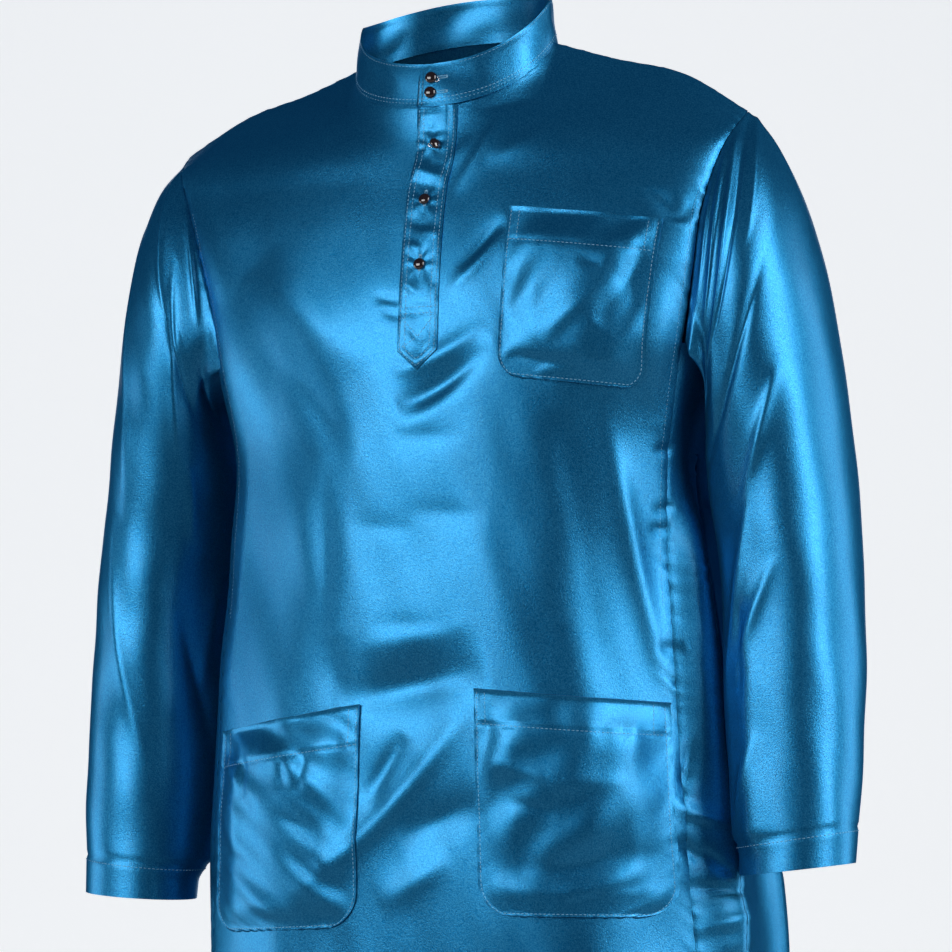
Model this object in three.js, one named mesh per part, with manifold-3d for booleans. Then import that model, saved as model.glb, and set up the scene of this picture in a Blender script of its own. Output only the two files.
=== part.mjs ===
// The upper garment of a baju melayu, as worn: a hollow satin tunic with a stand collar, a short buttoned placket,
// three patch pockets, set-on sleeves, underarm gussets and flared side gores.
// Millimetres. +X is the wearer's left, -Y the front, +Z up. The origin is the middle of the neck opening, level with
// the points where the shoulder seams meet the collar.
import * as THREE from "three";
import { mergeVertices } from "three/addons/utils/BufferGeometryUtils.js";
import Module from "manifold-3d";

const wasm = await Module();
wasm.setup();

// Cloth and seams
const CLOTH = 1.5; // wall of one layer of cloth
const COLLAR_CLOTH = 2; // the collar is stiffened
const SEAM_INSET = 0.2; // each piece stops this far short of a seam line
const LAID_ON_GAP = 0.4; // between a panel and what is sewn on it
const HEM_Z = -790;
const CUFF_Z = -656;

// Neck opening: an ellipse whose front half dips to the throat and whose back half rises to the nape. The wearer's
// right half is a little wider and lower at its side.
const NECK = { centreY: -9, frontDepth: 65, backDepth: 62, throatZ: -52, napeZ: 14 };
const NECK_SIDE = { left: { halfWidth: 81, z: 0 }, right: { halfWidth: 86, z: -10 } };

// Collar band. Its foot stands the length of "seat" above the neck edge.
const COLLAR = { seat: 0.75, height: 35, leanIn: 8, overlapHalf: 17, overlapLift: 2.4, overlapRamp: 55 };

// Shoulder seams, from the collar to the sleeve, each with x outward from the middle. The wearer's right shoulder
// is lower beside the neck.
const SHOULDER_SEAMS = {
  left: [
    // x, y, z
    [81, -9, 0],
    [128, -3, -15],
    [185, 1, -31],
    [236, 2, -64],
  ],
  right: [
    [86, -9, -10],
    [134, -3, -26],
    [187, 1, -40],
    [241, 2, -68],
  ],
};

// Where the columns of a panel stand, as shares of its half width
const PANEL_SHARES = [0, 0.36, 0.68, 1];
// How flat a panel is in its middle: the power of the curve from its centre to its side seam
const BACK_FLATNESS = 3;
const TURN_WIDTH = 0.4; // how much narrower the right side is for each millimetre of turn

// One row for each level of the body, from under the shoulder seam to the hem.
// Centre front and centre back have a height and a depth. The panel seams share one x and one z. "side" is the seam
// between the two gores, the bottom edge of the armhole on UNDERARM_ROW, and only steers the panel's edge above that.
// "flatness" is how flat the front is in its middle, "turn" is how much further back the side seam lies on the
// wearer's right, and the last column is how wide that half is, as a share of the left one.
const BODY_LEVELS = [
  // frontZ, frontY, seamX, seamZ, frontSeamY, backSeamY, sideX, sideY, sideZ, backZ, backY,
  // flatness, turn, rightShare
  [-80, -78, 227, -88, -27, 31, 236, 2, -88, -42, 80, 1.8, 0, 1.045],
  [-112, -88, 219, -114, -42, 50, 232, 3, -114, -88, 99, 2.2, 0, 1.03],
  [-150, -101, 212, -152, -57, 64, 226, 4, -152, -136, 111, 2.6, 0, 0.995],
  [-195, -113, 207, -200, -65, 72, 222, 4, -200, -186, 118, 3, 0, 0.95],
  [-242, -120, 200, -250, -67, 73, 208, 3, -264, -240, 122, 3, 0, 0.93],
  [-305, -124, 182, -325, -55, 62, 192, -12, -333, -310, 124, 3, 14, 0.97],
  [-385, -130, 178, -400, -56, 62, 200, -30, -400, -390, 125, 3, 26, 1.005],
  [-480, -136, 183, -490, -65, 66, 209, -38, -490, -485, 127, 3.2, 32, 1.003],
  [-585, -144, 190, -590, -73, 70, 217, -42, -590, -588, 130, 3.4, 36, 1.001],
  [-688, -151, 197, -690, -78, 74, 225, -46, -690, -690, 133, 3.6, 40, 0.993],
  [HEM_Z, -155, 204, HEM_Z, -83, 78, 232, -48, HEM_Z, HEM_Z, 136, 3.6, 42, 0.986],
];
const RIGHT_SHARE = BODY_LEVELS[0].length - 1;
const RIGHT_TURN = RIGHT_SHARE - 1;
const UNDERARM_ROW = 5; // where the sleeve leaves the body and the gusset starts
const GUSSET_FOOT_ROW = 6; // where the gusset ends and the side gores start
const HEM_ROW = BODY_LEVELS.length;

// Columns of the body, counted from centre front to centre back on one side
const NECK_COLUMN = 1;
const FRONT_SEAM = 3;
const SIDE_SEAM = 4;
const BACK_SEAM = 5;
const BACK_NECK_COLUMN = 7;
const CENTRE_BACK = 8;

// Sleeve rings from the armhole to the cuff: the outer and the under point of each, its depth and its lie
const SLEEVE_RINGS = [
  // outerX, outerZ, underX, underZ, centreY, halfDepth
  [236, -65, 208, -264, 3, 70],
  [256, -88, 212, -280, 3, 76],
  [273, -124, 209, -298, 4, 79],
  [289, -180, 207, -325, 5, 78],
  [302, -256, 211, -362, 4, 73],
  [312, -340, 221, -412, 0, 68],
  [319, -422, 226, -472, -9, 63],
  [322, -500, 226, -533, -22, 57],
  [322, -577, 228, -595, -38, 50],
  [319, CUFF_Z + 4, 230, CUFF_Z - 4, -55, 43],
];
const ARMHOLE_BLEND_RINGS = 3; // the rings over which the armhole's own outline fades into the sleeve's
const SLEEVE_RUN = 66; // cloth length from ring to ring

// Largest folds of the body. Angles in degrees round the body from centre front, to the wearer's left.
const FOLD_RADIUS = 165; // turns those angles into lengths
const BODY_FOLDS = [
  // fromAngle, fromZ, toAngle, toZ, bow, width, height
  [50, -280, 59, -560, 6, 22, -7],
  [66, -300, 69, -580, 4, 18, 5],
  [8, -250, -12, -330, -8, 26, -4],
  [-24, -545, 24, -470, -10, 28, -6],
  [30, -560, -30, -660, 12, 26, 5],
  [-24, -700, 22, -650, 0, 26, -6],
  [-52, -330, -44, -640, -6, 26, -4],
  [-75, -360, -72, -900, 4, 26, 6],
  [-34, -610, -36, -900, 0, 28, 6],
  [14, -660, 20, -900, 0, 28, -5],
  [44, -640, 50, -900, 0, 26, 5],
  [82, -470, 88, -900, 0, 24, -6],
  [100, -330, 106, -960, 4, 26, 15],
  [130, -330, 128, -900, -6, 26, -9],
  [150, -240, 147, -900, 6, 28, 9],
  [176, -300, 170, -900, -4, 30, -8],
  [-158, -220, -154, -900, 6, 28, 9],
  [-134, -300, -136, -900, 4, 26, -9],
  [-112, -360, -108, -900, -4, 24, 9],
  [112, -160, 148, -320, 10, 26, 4],
  [-112, -160, -148, -320, -10, 26, 4],
];

// Largest folds of a sleeve: the turn in degrees from its outer line, forwards, and the run down it in millimetres
const SLEEVE_RADIUS = 62;
const SLEEVE_FOLDS = [
  // fromTurn, fromRun, toTurn, toRun, bow, width, height
  [26, 0, 84, 300, 8, 14, 4.5],
  [58, 0, 116, 250, 8, 13, 4.5],
  [150, 190, 66, 380, 10, 18, 5],
  [60, 330, 112, 570, -8, 18, 5],
  [205, 110, 300, 330, 12, 18, 5],
  [250, 320, 235, 580, 8, 20, 5],
  [338, 60, 300, 330, -8, 18, -4],
  [10, 290, 350, 575, 10, 20, -4.5],
];
const FOLD_RAMP = 40; // the cloth is flat at the armhole and at the cuff over this length

// What is sewn on the front: outlines in x and z, rounded at the bottom corners
const PLACKET = { halfWidth: 16.5, topZ: -53.5, footZ: -249, pointDrop: 15 };
const CHEST_POCKET = { corners: [[70, -139], [187, -154], [171, -285], [65, -271]], round: 18 };
const LEFT_POCKET = { corners: [[46, -512], [181, -527], [190, -690], [50, -684]], round: 26 };
const RIGHT_POCKET = { corners: [[49, -522], [185, -541], [193, -698], [51, -692]], round: 26 };

// Studs, from the top of the collar down
const STUD = { headRadius: 4.7, headHeight: 3.4, neckRadius: 1.4, neckHeight: 0.8, sides: 12 };
const COLLAR_STUD_HEIGHTS = [23, 11];
const PLACKET_STUD_ZS = [-85, -129, -181];
const STUD_CLEARANCE = 0.4;
const TURNED = { stud: 0, tilt: 48, raise: 2.4 }; // the first stud on the placket has twisted in its hole

// Mesh steps
const STEPS = { neck: 6, shoulder: 7, yoke: 5, armhole: 8, gusset: 3, belowGusset: 16, gore: 3, sleeve: 20, collar: 48 };

const COLOUR = { cloth: 0x0f6ba6, stud: 0x1c1013 };
const clothMaterial = new THREE.MeshStandardMaterial({ color: COLOUR.cloth, roughness: 0.38, metalness: 0.35 });
const studMaterial = new THREE.MeshStandardMaterial({ color: COLOUR.stud, roughness: 0.18, metalness: 0.1 });

const vector = (x, y, z) => new THREE.Vector3(x, y, z);
const radians = (degrees) => (degrees * Math.PI) / 180;
const smooth = (low, high, x) => THREE.MathUtils.smoothstep(x, low, high);
const through = (points) => new THREE.CatmullRomCurve3(points, false, "centripetal");

// Evenly spaced numbers from a to b, in so many steps
function spread(a, b, steps) {
  return Array.from({ length: steps + 1 }, (_, i) => a + ((b - a) * i) / steps);
}

// Joins lists of numbers end to end, where each starts with the last number of the one before
function chain(...lists) {
  return lists.reduce((all, list) => [...all, ...list.slice(all.length ? 1 : 0)], []);
}

// Height of one fold at a place. The ridge, or the trough, lies between two shallow ones of the other sense, so the
// cloth keeps its length. It is tapered at both ends.
function foldAt([a0, b0, a1, b1, bow, width, height], radius, a, b) {
  const along = new THREE.Vector2((a1 - a0) * radius, b1 - b0);
  const place = new THREE.Vector2((a - a0) * radius, b - b0);
  const share = place.dot(along) / along.lengthSq();
  if (share <= 0 || share >= 1) return 0;
  const off = place.cross(along) / along.length() - bow * 4 * share * (1 - share);
  const q = (off / width) ** 2;
  return height * (1 - 0.6 * q) * Math.exp(-0.6 * q) * smooth(0, 0.3, share) * (1 - smooth(0.7, 1, share));
}

// The body stands out at a place by the sum of its folds, along the level normal of its section
function bodyFold(p) {
  const angle = Math.atan2(p.x, -p.y);
  let out = 0;
  for (const [a0, z0, a1, z1, ...rest] of BODY_FOLDS) {
    const middle = radians((a0 + a1) / 2);
    const turned = middle + Math.atan2(Math.sin(angle - middle), Math.cos(angle - middle));
    out += foldAt([radians(a0), z0, radians(a1), z1, ...rest], FOLD_RADIUS, turned, p.z);
  }
  const normal = vector(p.x / 1.9, p.y, 0).normalize();
  return p.clone().addScaledVector(normal, out);
}

// The neck opening of one half, at an angle from its side to the front (negative) or to the back (positive)
function neckEdge(angle, half) {
  const front = angle < 0;
  const rise = Math.abs(Math.sin(angle));
  const { halfWidth, z } = NECK_SIDE[half];
  return vector(
    halfWidth * Math.cos(angle),
    NECK.centreY + (front ? -NECK.frontDepth : NECK.backDepth) * rise,
    z * Math.cos(angle) ** 2 + (front ? NECK.throatZ : NECK.napeZ) * rise,
  );
}

const shoulderLines = {
  left: through(SHOULDER_SEAMS.left.map((p) => vector(...p))),
  right: through(SHOULDER_SEAMS.right.map((p) => vector(...p))),
};

// Top edge of one half of the body, by column
function topEdge(column, half) {
  if (column <= NECK_COLUMN) return neckEdge((-Math.PI / 2) * (1 - column), half);
  if (column >= BACK_NECK_COLUMN) return neckEdge((Math.PI / 2) * (column - BACK_NECK_COLUMN), half);
  const outward = column <= SIDE_SEAM ? column - NECK_COLUMN : BACK_NECK_COLUMN - column;
  return shoulderLines[half].getPoint(Math.min(1, outward / (FRONT_SEAM - NECK_COLUMN)));
}

// The nine columns of one level, for one half of the body
function levelColumns(level, share, turn) {
  const [frontZ, frontY, seamX, seamZ, frontSeamY, backSeamY, sideX, sideY, sideZ, backZ, backY, flatness] = level;
  const panel = (centreZ, centreY, seamY, flat) =>
    PANEL_SHARES.map((s) => {
      const y = centreY + (seamY - centreY) * s ** flat;
      return vector(seamX * share * s, y, centreZ + (seamZ - centreZ) * s * s);
    });
  const back = panel(backZ, backY, backSeamY, BACK_FLATNESS).reverse();
  const side = vector((sideX - TURN_WIDTH * turn) * share, sideY + turn, sideZ);
  return [...panel(frontZ, frontY, frontSeamY, flatness), side, ...back];
}

// Each level as a smooth line from centre front to centre back, running on past both centres
const mirrored = (p) => vector(-p.x, p.y, p.z);
function levelLines(shareOf, turnOf) {
  return BODY_LEVELS.map((row) => {
    const columns = levelColumns(row, shareOf(row), turnOf(row));
    return through([mirrored(columns[1]), ...columns, mirrored(columns[CENTRE_BACK - 1])]);
  });
}
const levels = {
  left: levelLines(() => 1, () => 0),
  right: levelLines((row) => row[RIGHT_SHARE], (row) => row[RIGHT_TURN]),
};

// A point of the body's cloth. Columns run from -8 to 8, and are negative on the wearer's right.
function bodyPoint(column, row) {
  const half = column < 0 ? "right" : "left";
  const c = Math.abs(column);
  const down = [topEdge(c, half), ...levels[half].map((line) => line.getPoint((c + 1) / (CENTRE_BACK + 2)))];
  const p = through(down).getPoint(row / HEM_ROW);
  if (column < 0) p.x *= -1;
  return bodyFold(p);
}

const upperRows = chain(spread(0, 1, STEPS.yoke), spread(1, UNDERARM_ROW, STEPS.armhole));
const gussetRows = spread(UNDERARM_ROW, GUSSET_FOOT_ROW, STEPS.gusset);
const lowerRows = spread(GUSSET_FOOT_ROW, HEM_ROW, STEPS.belowGusset);
const bodyRows = chain(upperRows, gussetRows, lowerRows);
const halfPanel = chain(spread(0, NECK_COLUMN, STEPS.neck), spread(NECK_COLUMN, FRONT_SEAM, STEPS.shoulder));
const halfGusset = spread(FRONT_SEAM, BACK_SEAM, 2 * STEPS.gore);

const bodyGrid = (columns, rows) => rows.map((row) => columns.map((column) => bodyPoint(column, row)));

// The edge of the armhole, once round from the shoulder point: down the front, under the arm and up the back
function armholeEdge(side) {
  const front = upperRows.map((row) => bodyPoint(side * FRONT_SEAM, row));
  const under = halfGusset.map((column) => bodyPoint(side * column, UNDERARM_ROW));
  const back = upperRows.map((row) => bodyPoint(side * BACK_SEAM, row)).reverse();
  return chain(front, under, back).slice(0, -1);
}

// One sleeve as a grid of rings. Each ring has as many points as the armhole's edge.
function sleeveGrid(side) {
  const armhole = armholeEdge(side);
  const steps = armhole.map((p, i) => p.distanceTo(armhole[(i + 1) % armhole.length]));
  const girth = steps.reduce((sum, s) => sum + s, 0);
  let run = 0;
  const lines = armhole.map((start, i) => {
    const turn = (2 * Math.PI * run) / girth;
    run += steps[i];
    const ring = SLEEVE_RINGS.map(([outerX, outerZ, underX, underZ, centreY, halfDepth]) =>
      vector(
        side * ((outerX + underX) / 2 + ((outerX - underX) / 2) * Math.cos(turn)),
        centreY - halfDepth * Math.sin(turn),
        (outerZ + underZ) / 2 + ((outerZ - underZ) / 2) * Math.cos(turn),
      ),
    );
    const away = start.clone().sub(ring[0]);
    ring.forEach((p, k) => p.addScaledVector(away, Math.max(0, 1 - k / ARMHOLE_BLEND_RINGS) ** 2));
    return { turn, line: through(ring) };
  });
  const lastRing = SLEEVE_RINGS.length - 1;
  return spread(0, lastRing, STEPS.sleeve).map((ring) => {
    const plain = lines.map(({ line }) => line.getPoint(ring / lastRing));
    const centre = plain.reduce((sum, p) => sum.add(p), vector(0, 0, 0)).divideScalar(plain.length);
    const down = ring * SLEEVE_RUN;
    const loose = smooth(0, FOLD_RAMP, down) * (1 - smooth(-FOLD_RAMP, 0, down - lastRing * SLEEVE_RUN));
    return plain.map((p, i) => {
      const out = SLEEVE_FOLDS.reduce((sum, [a0, b0, a1, b1, ...rest]) => {
        const fold = [radians(a0), b0, radians(a1), b1, ...rest];
        return sum + foldAt(fold, SLEEVE_RADIUS, lines[i].turn, down);
      }, 0);
      return p.clone().addScaledVector(p.clone().sub(centre).normalize(), out * loose);
    });
  });
}

// Outward normals of a grid. A ring grid closes on itself across.
function gridNormals(grid, closed, facing) {
  const last = grid[0].length - 1;
  return grid.map((line, r) =>
    line.map((p, c) => {
      const left = line[closed ? (c + last) % (last + 1) : Math.max(0, c - 1)];
      const right = line[closed ? (c + 1) % (last + 1) : Math.min(last, c + 1)];
      const up = grid[Math.max(0, r - 1)][c];
      const down = grid[Math.min(grid.length - 1, r + 1)][c];
      return right.clone().sub(left).cross(up.clone().sub(down)).normalize().multiplyScalar(facing);
    }),
  );
}

// Panels that meet at a seam share one normal there, so their edges stand face to face
const seamNormals = new Map();
const seamKey = (p) => [p.x, p.y, p.z].map((n) => Math.round(n * 20)).join();
function shareNormals(panel) {
  panel.grid.forEach((line, r) =>
    line.forEach((p, c) => {
      const key = seamKey(p);
      if (!seamNormals.has(key)) seamNormals.set(key, vector(0, 0, 0));
      seamNormals.get(key).add(panel.normals[r][c]);
    }),
  );
}

// Moves a point a fixed length towards another
function towards(p, q, length) {
  const step = q.clone().sub(p);
  return p.clone().addScaledVector(step.normalize(), length);
}

// Draws a panel's edges in from its seams
function insetGrid(grid, closed) {
  const rows = grid.length - 1;
  const last = grid[0].length - 1;
  return grid.map((line, r) =>
    line.map((p, c) => {
      let q = p;
      if (!closed && c === 0) q = towards(q, line[1], SEAM_INSET);
      if (!closed && c === last) q = towards(q, line[last - 1], SEAM_INSET);
      if (r === 0) q = towards(q, grid[1][c], SEAM_INSET);
      if (r === rows) q = towards(q, grid[rows - 1][c], SEAM_INSET);
      return q;
    }),
  );
}

// A closed wall between two grids of the same size, the outer and the inner
function wallGeometry(outer, inner, closed, facing) {
  const rows = outer.length;
  const columns = outer[0].length;
  const positions = [...outer, ...inner].flat().flatMap((p) => [p.x, p.y, p.z]);
  const at = (layer, r, c) => layer * rows * columns + r * columns + (c % columns);
  const faces = [];
  const quad = (a, b, c, d, turn = 1) => {
    faces.push(...(facing * turn > 0 ? [a, c, b, b, c, d] : [a, b, c, b, d, c]));
  };
  const across = closed ? columns : columns - 1;
  for (let c = 0; c < across; c++) {
    // Both faces are split along the same diagonal, so that layers of cloth lie evenly on each other
    for (let r = 0; r < rows - 1; r++) {
      quad(at(0, r, c), at(0, r, c + 1), at(0, r + 1, c), at(0, r + 1, c + 1));
      quad(at(1, r, c), at(1, r, c + 1), at(1, r + 1, c), at(1, r + 1, c + 1), -1);
    }
    quad(at(1, 0, c), at(1, 0, c + 1), at(0, 0, c), at(0, 0, c + 1));
    quad(at(0, rows - 1, c), at(0, rows - 1, c + 1), at(1, rows - 1, c), at(1, rows - 1, c + 1));
  }
  for (let r = 0; !closed && r < rows - 1; r++) {
    quad(at(1, r, 0), at(0, r, 0), at(1, r + 1, 0), at(0, r + 1, 0));
    quad(at(0, r, columns - 1), at(1, r, columns - 1), at(0, r + 1, columns - 1), at(1, r + 1, columns - 1));
  }
  const geometry = new THREE.BufferGeometry();
  geometry.setAttribute("position", new THREE.Float32BufferAttribute(positions, 3));
  geometry.setIndex(faces);
  return geometry;
}

const moved = (grid, normals, length) =>
  grid.map((line, r) => line.map((p, c) => p.clone().addScaledVector(normals[r][c], length)));

const garment = new THREE.Group();

function addMesh(name, geometry, material) {
  geometry.computeVertexNormals();
  const mesh = new THREE.Mesh(geometry, material);
  mesh.name = name;
  garment.add(mesh);
  return mesh;
}

// The cut pieces that make the body and the sleeves. "facing" is 1 where columns run to the wearer's left seen from
// outside, and -1 where they run the other way.
const panels = [];
function addPanel(name, grid, facing, closed = false) {
  panels.push({ name, grid, facing, closed, normals: gridNormals(grid, closed, facing) });
}

const wholePanel = [...halfPanel.slice(1).reverse().map((c) => -c), ...halfPanel];
addPanel("front", bodyGrid(wholePanel, bodyRows), 1);
const halfBack = halfPanel.map((c) => CENTRE_BACK - c);
const wholeBack = [...halfBack.slice(1).reverse(), ...halfBack.map((c) => (c === CENTRE_BACK ? c : -c))];
addPanel("back", bodyGrid(wholeBack, bodyRows), 1);
for (const [wearerSide, side] of [["left", 1], ["right", -1]]) {
  const columns = (from, to) => spread(side * from, side * to, STEPS.gore);
  const underarm = halfGusset.map((c) => side * c);
  addPanel(`gusset_${wearerSide}`, bodyGrid(underarm, gussetRows), side);
  addPanel(`gore_front_${wearerSide}`, bodyGrid(columns(FRONT_SEAM, SIDE_SEAM), lowerRows), side);
  addPanel(`gore_back_${wearerSide}`, bodyGrid(columns(SIDE_SEAM, BACK_SEAM), lowerRows), side);
  addPanel(`sleeve_${wearerSide}`, sleeveGrid(side), -side, true);
}

panels.forEach(shareNormals);
for (const panel of panels) {
  const shared = panel.grid.map((line) => line.map((p) => seamNormals.get(seamKey(p)).clone().normalize()));
  const outer = insetGrid(panel.grid, panel.closed);
  const inner = moved(outer, shared, -CLOTH);
  panel.outer = outer;
  panel.shared = shared;
  addMesh(panel.name, wallGeometry(outer, inner, panel.closed, panel.facing), clothMaterial);
}

// The manifold solid of a closed geometry
function solidOf(geometry) {
  const plain = geometry.clone();
  plain.deleteAttribute("normal");
  plain.deleteAttribute("uv");
  const merged = mergeVertices(plain, 1e-4);
  return new wasm.Manifold(
    new wasm.Mesh({
      numProp: 3,
      vertProperties: merged.attributes.position.array,
      triVerts: new Uint32Array(merged.index.array),
    }),
  );
}

function geometryOf(solid) {
  const { vertProperties, triVerts, numProp, numVert } = solid.getMesh();
  const positions = [];
  for (let i = 0; i < numVert; i++) positions.push(...vertProperties.slice(i * numProp, i * numProp + 3));
  const geometry = new THREE.BufferGeometry();
  geometry.setAttribute("position", new THREE.Float32BufferAttribute(positions, 3));
  geometry.setIndex([...triVerts]);
  return geometry;
}

// A layer of cloth lying on the front all over, from which the sewn-on pieces are cut
const front = panels.find((panel) => panel.name === "front");
function layerOnFront(gap, thickness) {
  const under = moved(front.outer, front.shared, gap);
  const over = moved(front.outer, front.shared, gap + thickness);
  return solidOf(wallGeometry(over, under, false, 1));
}

// A straight cutter with an outline in x and z, running from the front of the garment to its middle
function cutter(outline) {
  const deep = 220;
  const geometry = new THREE.ExtrudeGeometry(outline, { depth: deep, bevelEnabled: false, curveSegments: 5 });
  geometry.rotateX(Math.PI / 2);
  return solidOf(geometry);
}

// A patch's outline: square at the top, round at the bottom, for corners in the order top inner, top outer, bottom
// outer, bottom inner
function patchOutline({ corners, round }, side) {
  const [topInner, topOuter, footOuter, footInner] = corners.map(([x, z]) => new THREE.Vector2(side * x, z));
  const near = (from, to) => from.clone().add(to.clone().sub(from).setLength(round));
  const outline = new THREE.Shape();
  const line = (p) => outline.lineTo(p.x, p.y);
  const bend = (corner, end) => outline.quadraticCurveTo(corner.x, corner.y, end.x, end.y);
  outline.moveTo(topInner.x, topInner.y);
  line(near(footInner, topInner));
  bend(footInner, near(footInner, footOuter));
  line(near(footOuter, footInner));
  bend(footOuter, near(footOuter, topOuter));
  line(topOuter);
  return outline;
}

function placketOutline({ halfWidth, topZ, footZ, pointDrop }) {
  return new THREE.Shape([
    new THREE.Vector2(-halfWidth, topZ),
    new THREE.Vector2(-halfWidth, footZ),
    new THREE.Vector2(0, footZ - pointDrop),
    new THREE.Vector2(halfWidth, footZ),
    new THREE.Vector2(halfWidth, topZ),
  ]);
}

const clothOnFront = layerOnFront(LAID_ON_GAP, CLOTH);
function addPatch(name, outline) {
  addMesh(name, geometryOf(clothOnFront.intersect(cutter(outline))), clothMaterial);
}
addPatch("placket", placketOutline(PLACKET));
addPatch("pocket_chest", patchOutline(CHEST_POCKET, 1));
addPatch("pocket_left", patchOutline(LEFT_POCKET, 1));
addPatch("pocket_right", patchOutline(RIGHT_POCKET, -1));

// The collar runs once round the neck and laps over itself at the front. Its angle is 0 at centre front and grows to
// the wearer's left. The under end starts on the left of centre, and the lapping end stops on the right of it.
function collarPoint(angle, height, lift) {
  const side = Math.sin(angle) < 0 ? -1 : 1;
  const foot = neckEdge(Math.asin(-Math.cos(angle)), side > 0 ? "left" : "right");
  const share = height / COLLAR.height;
  const inward = COLLAR.leanIn * share * (0.45 + 0.55 * Math.max(0, Math.cos(angle)));
  const out = vector(foot.x, foot.y - NECK.centreY, 0).normalize();
  const p = foot.addScaledVector(out, lift - inward).add(vector(0, 0, COLLAR.seat + height));
  p.x *= side;
  return p;
}

function addCollar() {
  const lapAngle = Math.asin(COLLAR.overlapHalf / NECK_SIDE.left.halfWidth);
  const start = lapAngle;
  const end = -lapAngle - 2 * Math.PI;
  const angles = spread(start, end, STEPS.collar);
  const ramp = radians(COLLAR.overlapRamp);
  const lift = (angle) => COLLAR.overlapLift * smooth(-end - 2 * lapAngle - ramp, -end - 2 * lapAngle, -angle);
  const heights = [COLLAR.height, COLLAR.height / 2, 0];
  const outer = heights.map((h) => angles.map((a) => collarPoint(a, h, lift(a))));
  const inner = heights.map((h) => angles.map((a) => collarPoint(a, h, lift(a) - COLLAR_CLOTH)));
  addMesh("collar", wallGeometry(outer, inner, false, -1), clothMaterial);
}
addCollar();

// A stud: a domed head on a short neck, its foot at the origin and its axis along +Y
function studGeometry() {
  const { headRadius, headHeight, neckRadius, neckHeight, sides } = STUD;
  const point = (radius, height) => new THREE.Vector2(radius, height);
  const rim = 0.25 * headHeight;
  const dome = spread(0, Math.PI / 2, 5).map((t) =>
    point(headRadius * Math.cos(t), neckHeight + rim + (headHeight - rim) * Math.sin(t)),
  );
  dome[dome.length - 1].x = 0;
  const neck = [point(0, 0), point(neckRadius, 0), point(neckRadius, neckHeight)];
  return new THREE.LatheGeometry([...neck, point(headRadius * 0.82, neckHeight), ...dome], sides);
}

// The front's outer face at centre front, at a height, with its normal
function centreFront(z) {
  const middle = halfPanel.length - 1;
  const line = front.outer.map((row) => row[middle]);
  const r = line.findIndex((p) => p.z < z);
  const share = (line[r - 1].z - z) / (line[r - 1].z - line[r].z);
  const point = line[r - 1].clone().lerp(line[r], share);
  return { point, normal: front.shared[r - 1][middle].clone().lerp(front.shared[r][middle], share).normalize() };
}

function addStud(number, point, normal, tilt) {
  const stud = addMesh(`stud_${number}`, studGeometry(), studMaterial);
  stud.position.copy(point);
  stud.quaternion.setFromUnitVectors(vector(0, 1, 0), normal.clone().applyAxisAngle(vector(0, 0, 1), radians(tilt)));
}

COLLAR_STUD_HEIGHTS.forEach((height, i) => {
  const face = collarPoint(0, height, COLLAR.overlapLift);
  addStud(i + 1, face.add(vector(0, -STUD_CLEARANCE, 0)), vector(0, -1, 0), 0);
});
PLACKET_STUD_ZS.forEach((z, i) => {
  const { point, normal } = centreFront(z);
  const turned = i === TURNED.stud;
  const out = LAID_ON_GAP + CLOTH + STUD_CLEARANCE + (turned ? TURNED.raise : 0);
  addStud(COLLAR_STUD_HEIGHTS.length + i + 1, point.addScaledVector(normal, out), normal, turned ? TURNED.tilt : 0);
});

export default garment;
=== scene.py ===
# A baju melayu tunic as worn, hollow, in blue crepe-backed satin. Its cut pieces, stitching, buttonholes
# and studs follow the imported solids. Lengths in the tables and in the shape functions are millimetres, as
# cut, and meshes are written in metres. +X is the wearer's left, -Y the front, +Z up, and the origin is the
# middle of the neck opening.
import math

import bmesh
import bpy
import numpy as np
from mathutils import Matrix, Vector
from mathutils.bvhtree import BVHTree


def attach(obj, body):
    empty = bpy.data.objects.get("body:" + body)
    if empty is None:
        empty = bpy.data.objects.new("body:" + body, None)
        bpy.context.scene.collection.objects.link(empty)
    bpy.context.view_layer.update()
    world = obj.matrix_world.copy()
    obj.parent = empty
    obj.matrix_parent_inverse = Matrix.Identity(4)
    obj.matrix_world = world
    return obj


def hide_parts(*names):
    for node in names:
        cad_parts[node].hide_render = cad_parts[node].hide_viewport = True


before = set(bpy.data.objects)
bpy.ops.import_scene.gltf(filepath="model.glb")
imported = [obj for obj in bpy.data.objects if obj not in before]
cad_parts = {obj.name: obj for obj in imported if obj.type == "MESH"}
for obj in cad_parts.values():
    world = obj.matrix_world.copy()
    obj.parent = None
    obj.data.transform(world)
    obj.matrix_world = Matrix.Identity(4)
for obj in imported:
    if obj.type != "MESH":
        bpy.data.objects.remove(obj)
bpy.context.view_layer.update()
BODY = "root"
MM = 0.001
MERGE = 1e-6  # points closer than this, in metres, become one
SIDES = ((1, "left"), (-1, "right"))

# Cloth
SATIN_WALL = 0.7
COLLAR_WALL = 1.8
POCKET_WALL = 1.1  # the pocket with its turned edges
HEM_Z = -790
CUFF_Z = -656

# Neck opening, and how it differs on the wearer's two sides
NECK_CENTRE_Y = -9
NECK_FRONT_DEPTH = 65
NECK_BACK_DEPTH = 62
THROAT_Z = -52
NAPE_Z = 14
NECK_SIDE = {1: (81, 0), -1: (86, -10)}  # half width and height where the shoulder seam meets the collar

# Shoulder seams from the collar to the sleeve: x outward from the middle, y and z
SHOULDER_SEAMS = {
    1: [(81, -9, 0), (128, -3, -15), (185, 1, -31), (236, 2, -64)],
    -1: [(86, -9, -10), (134, -3, -26), (187, 1, -40), (241, 2, -68)],
}

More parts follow.
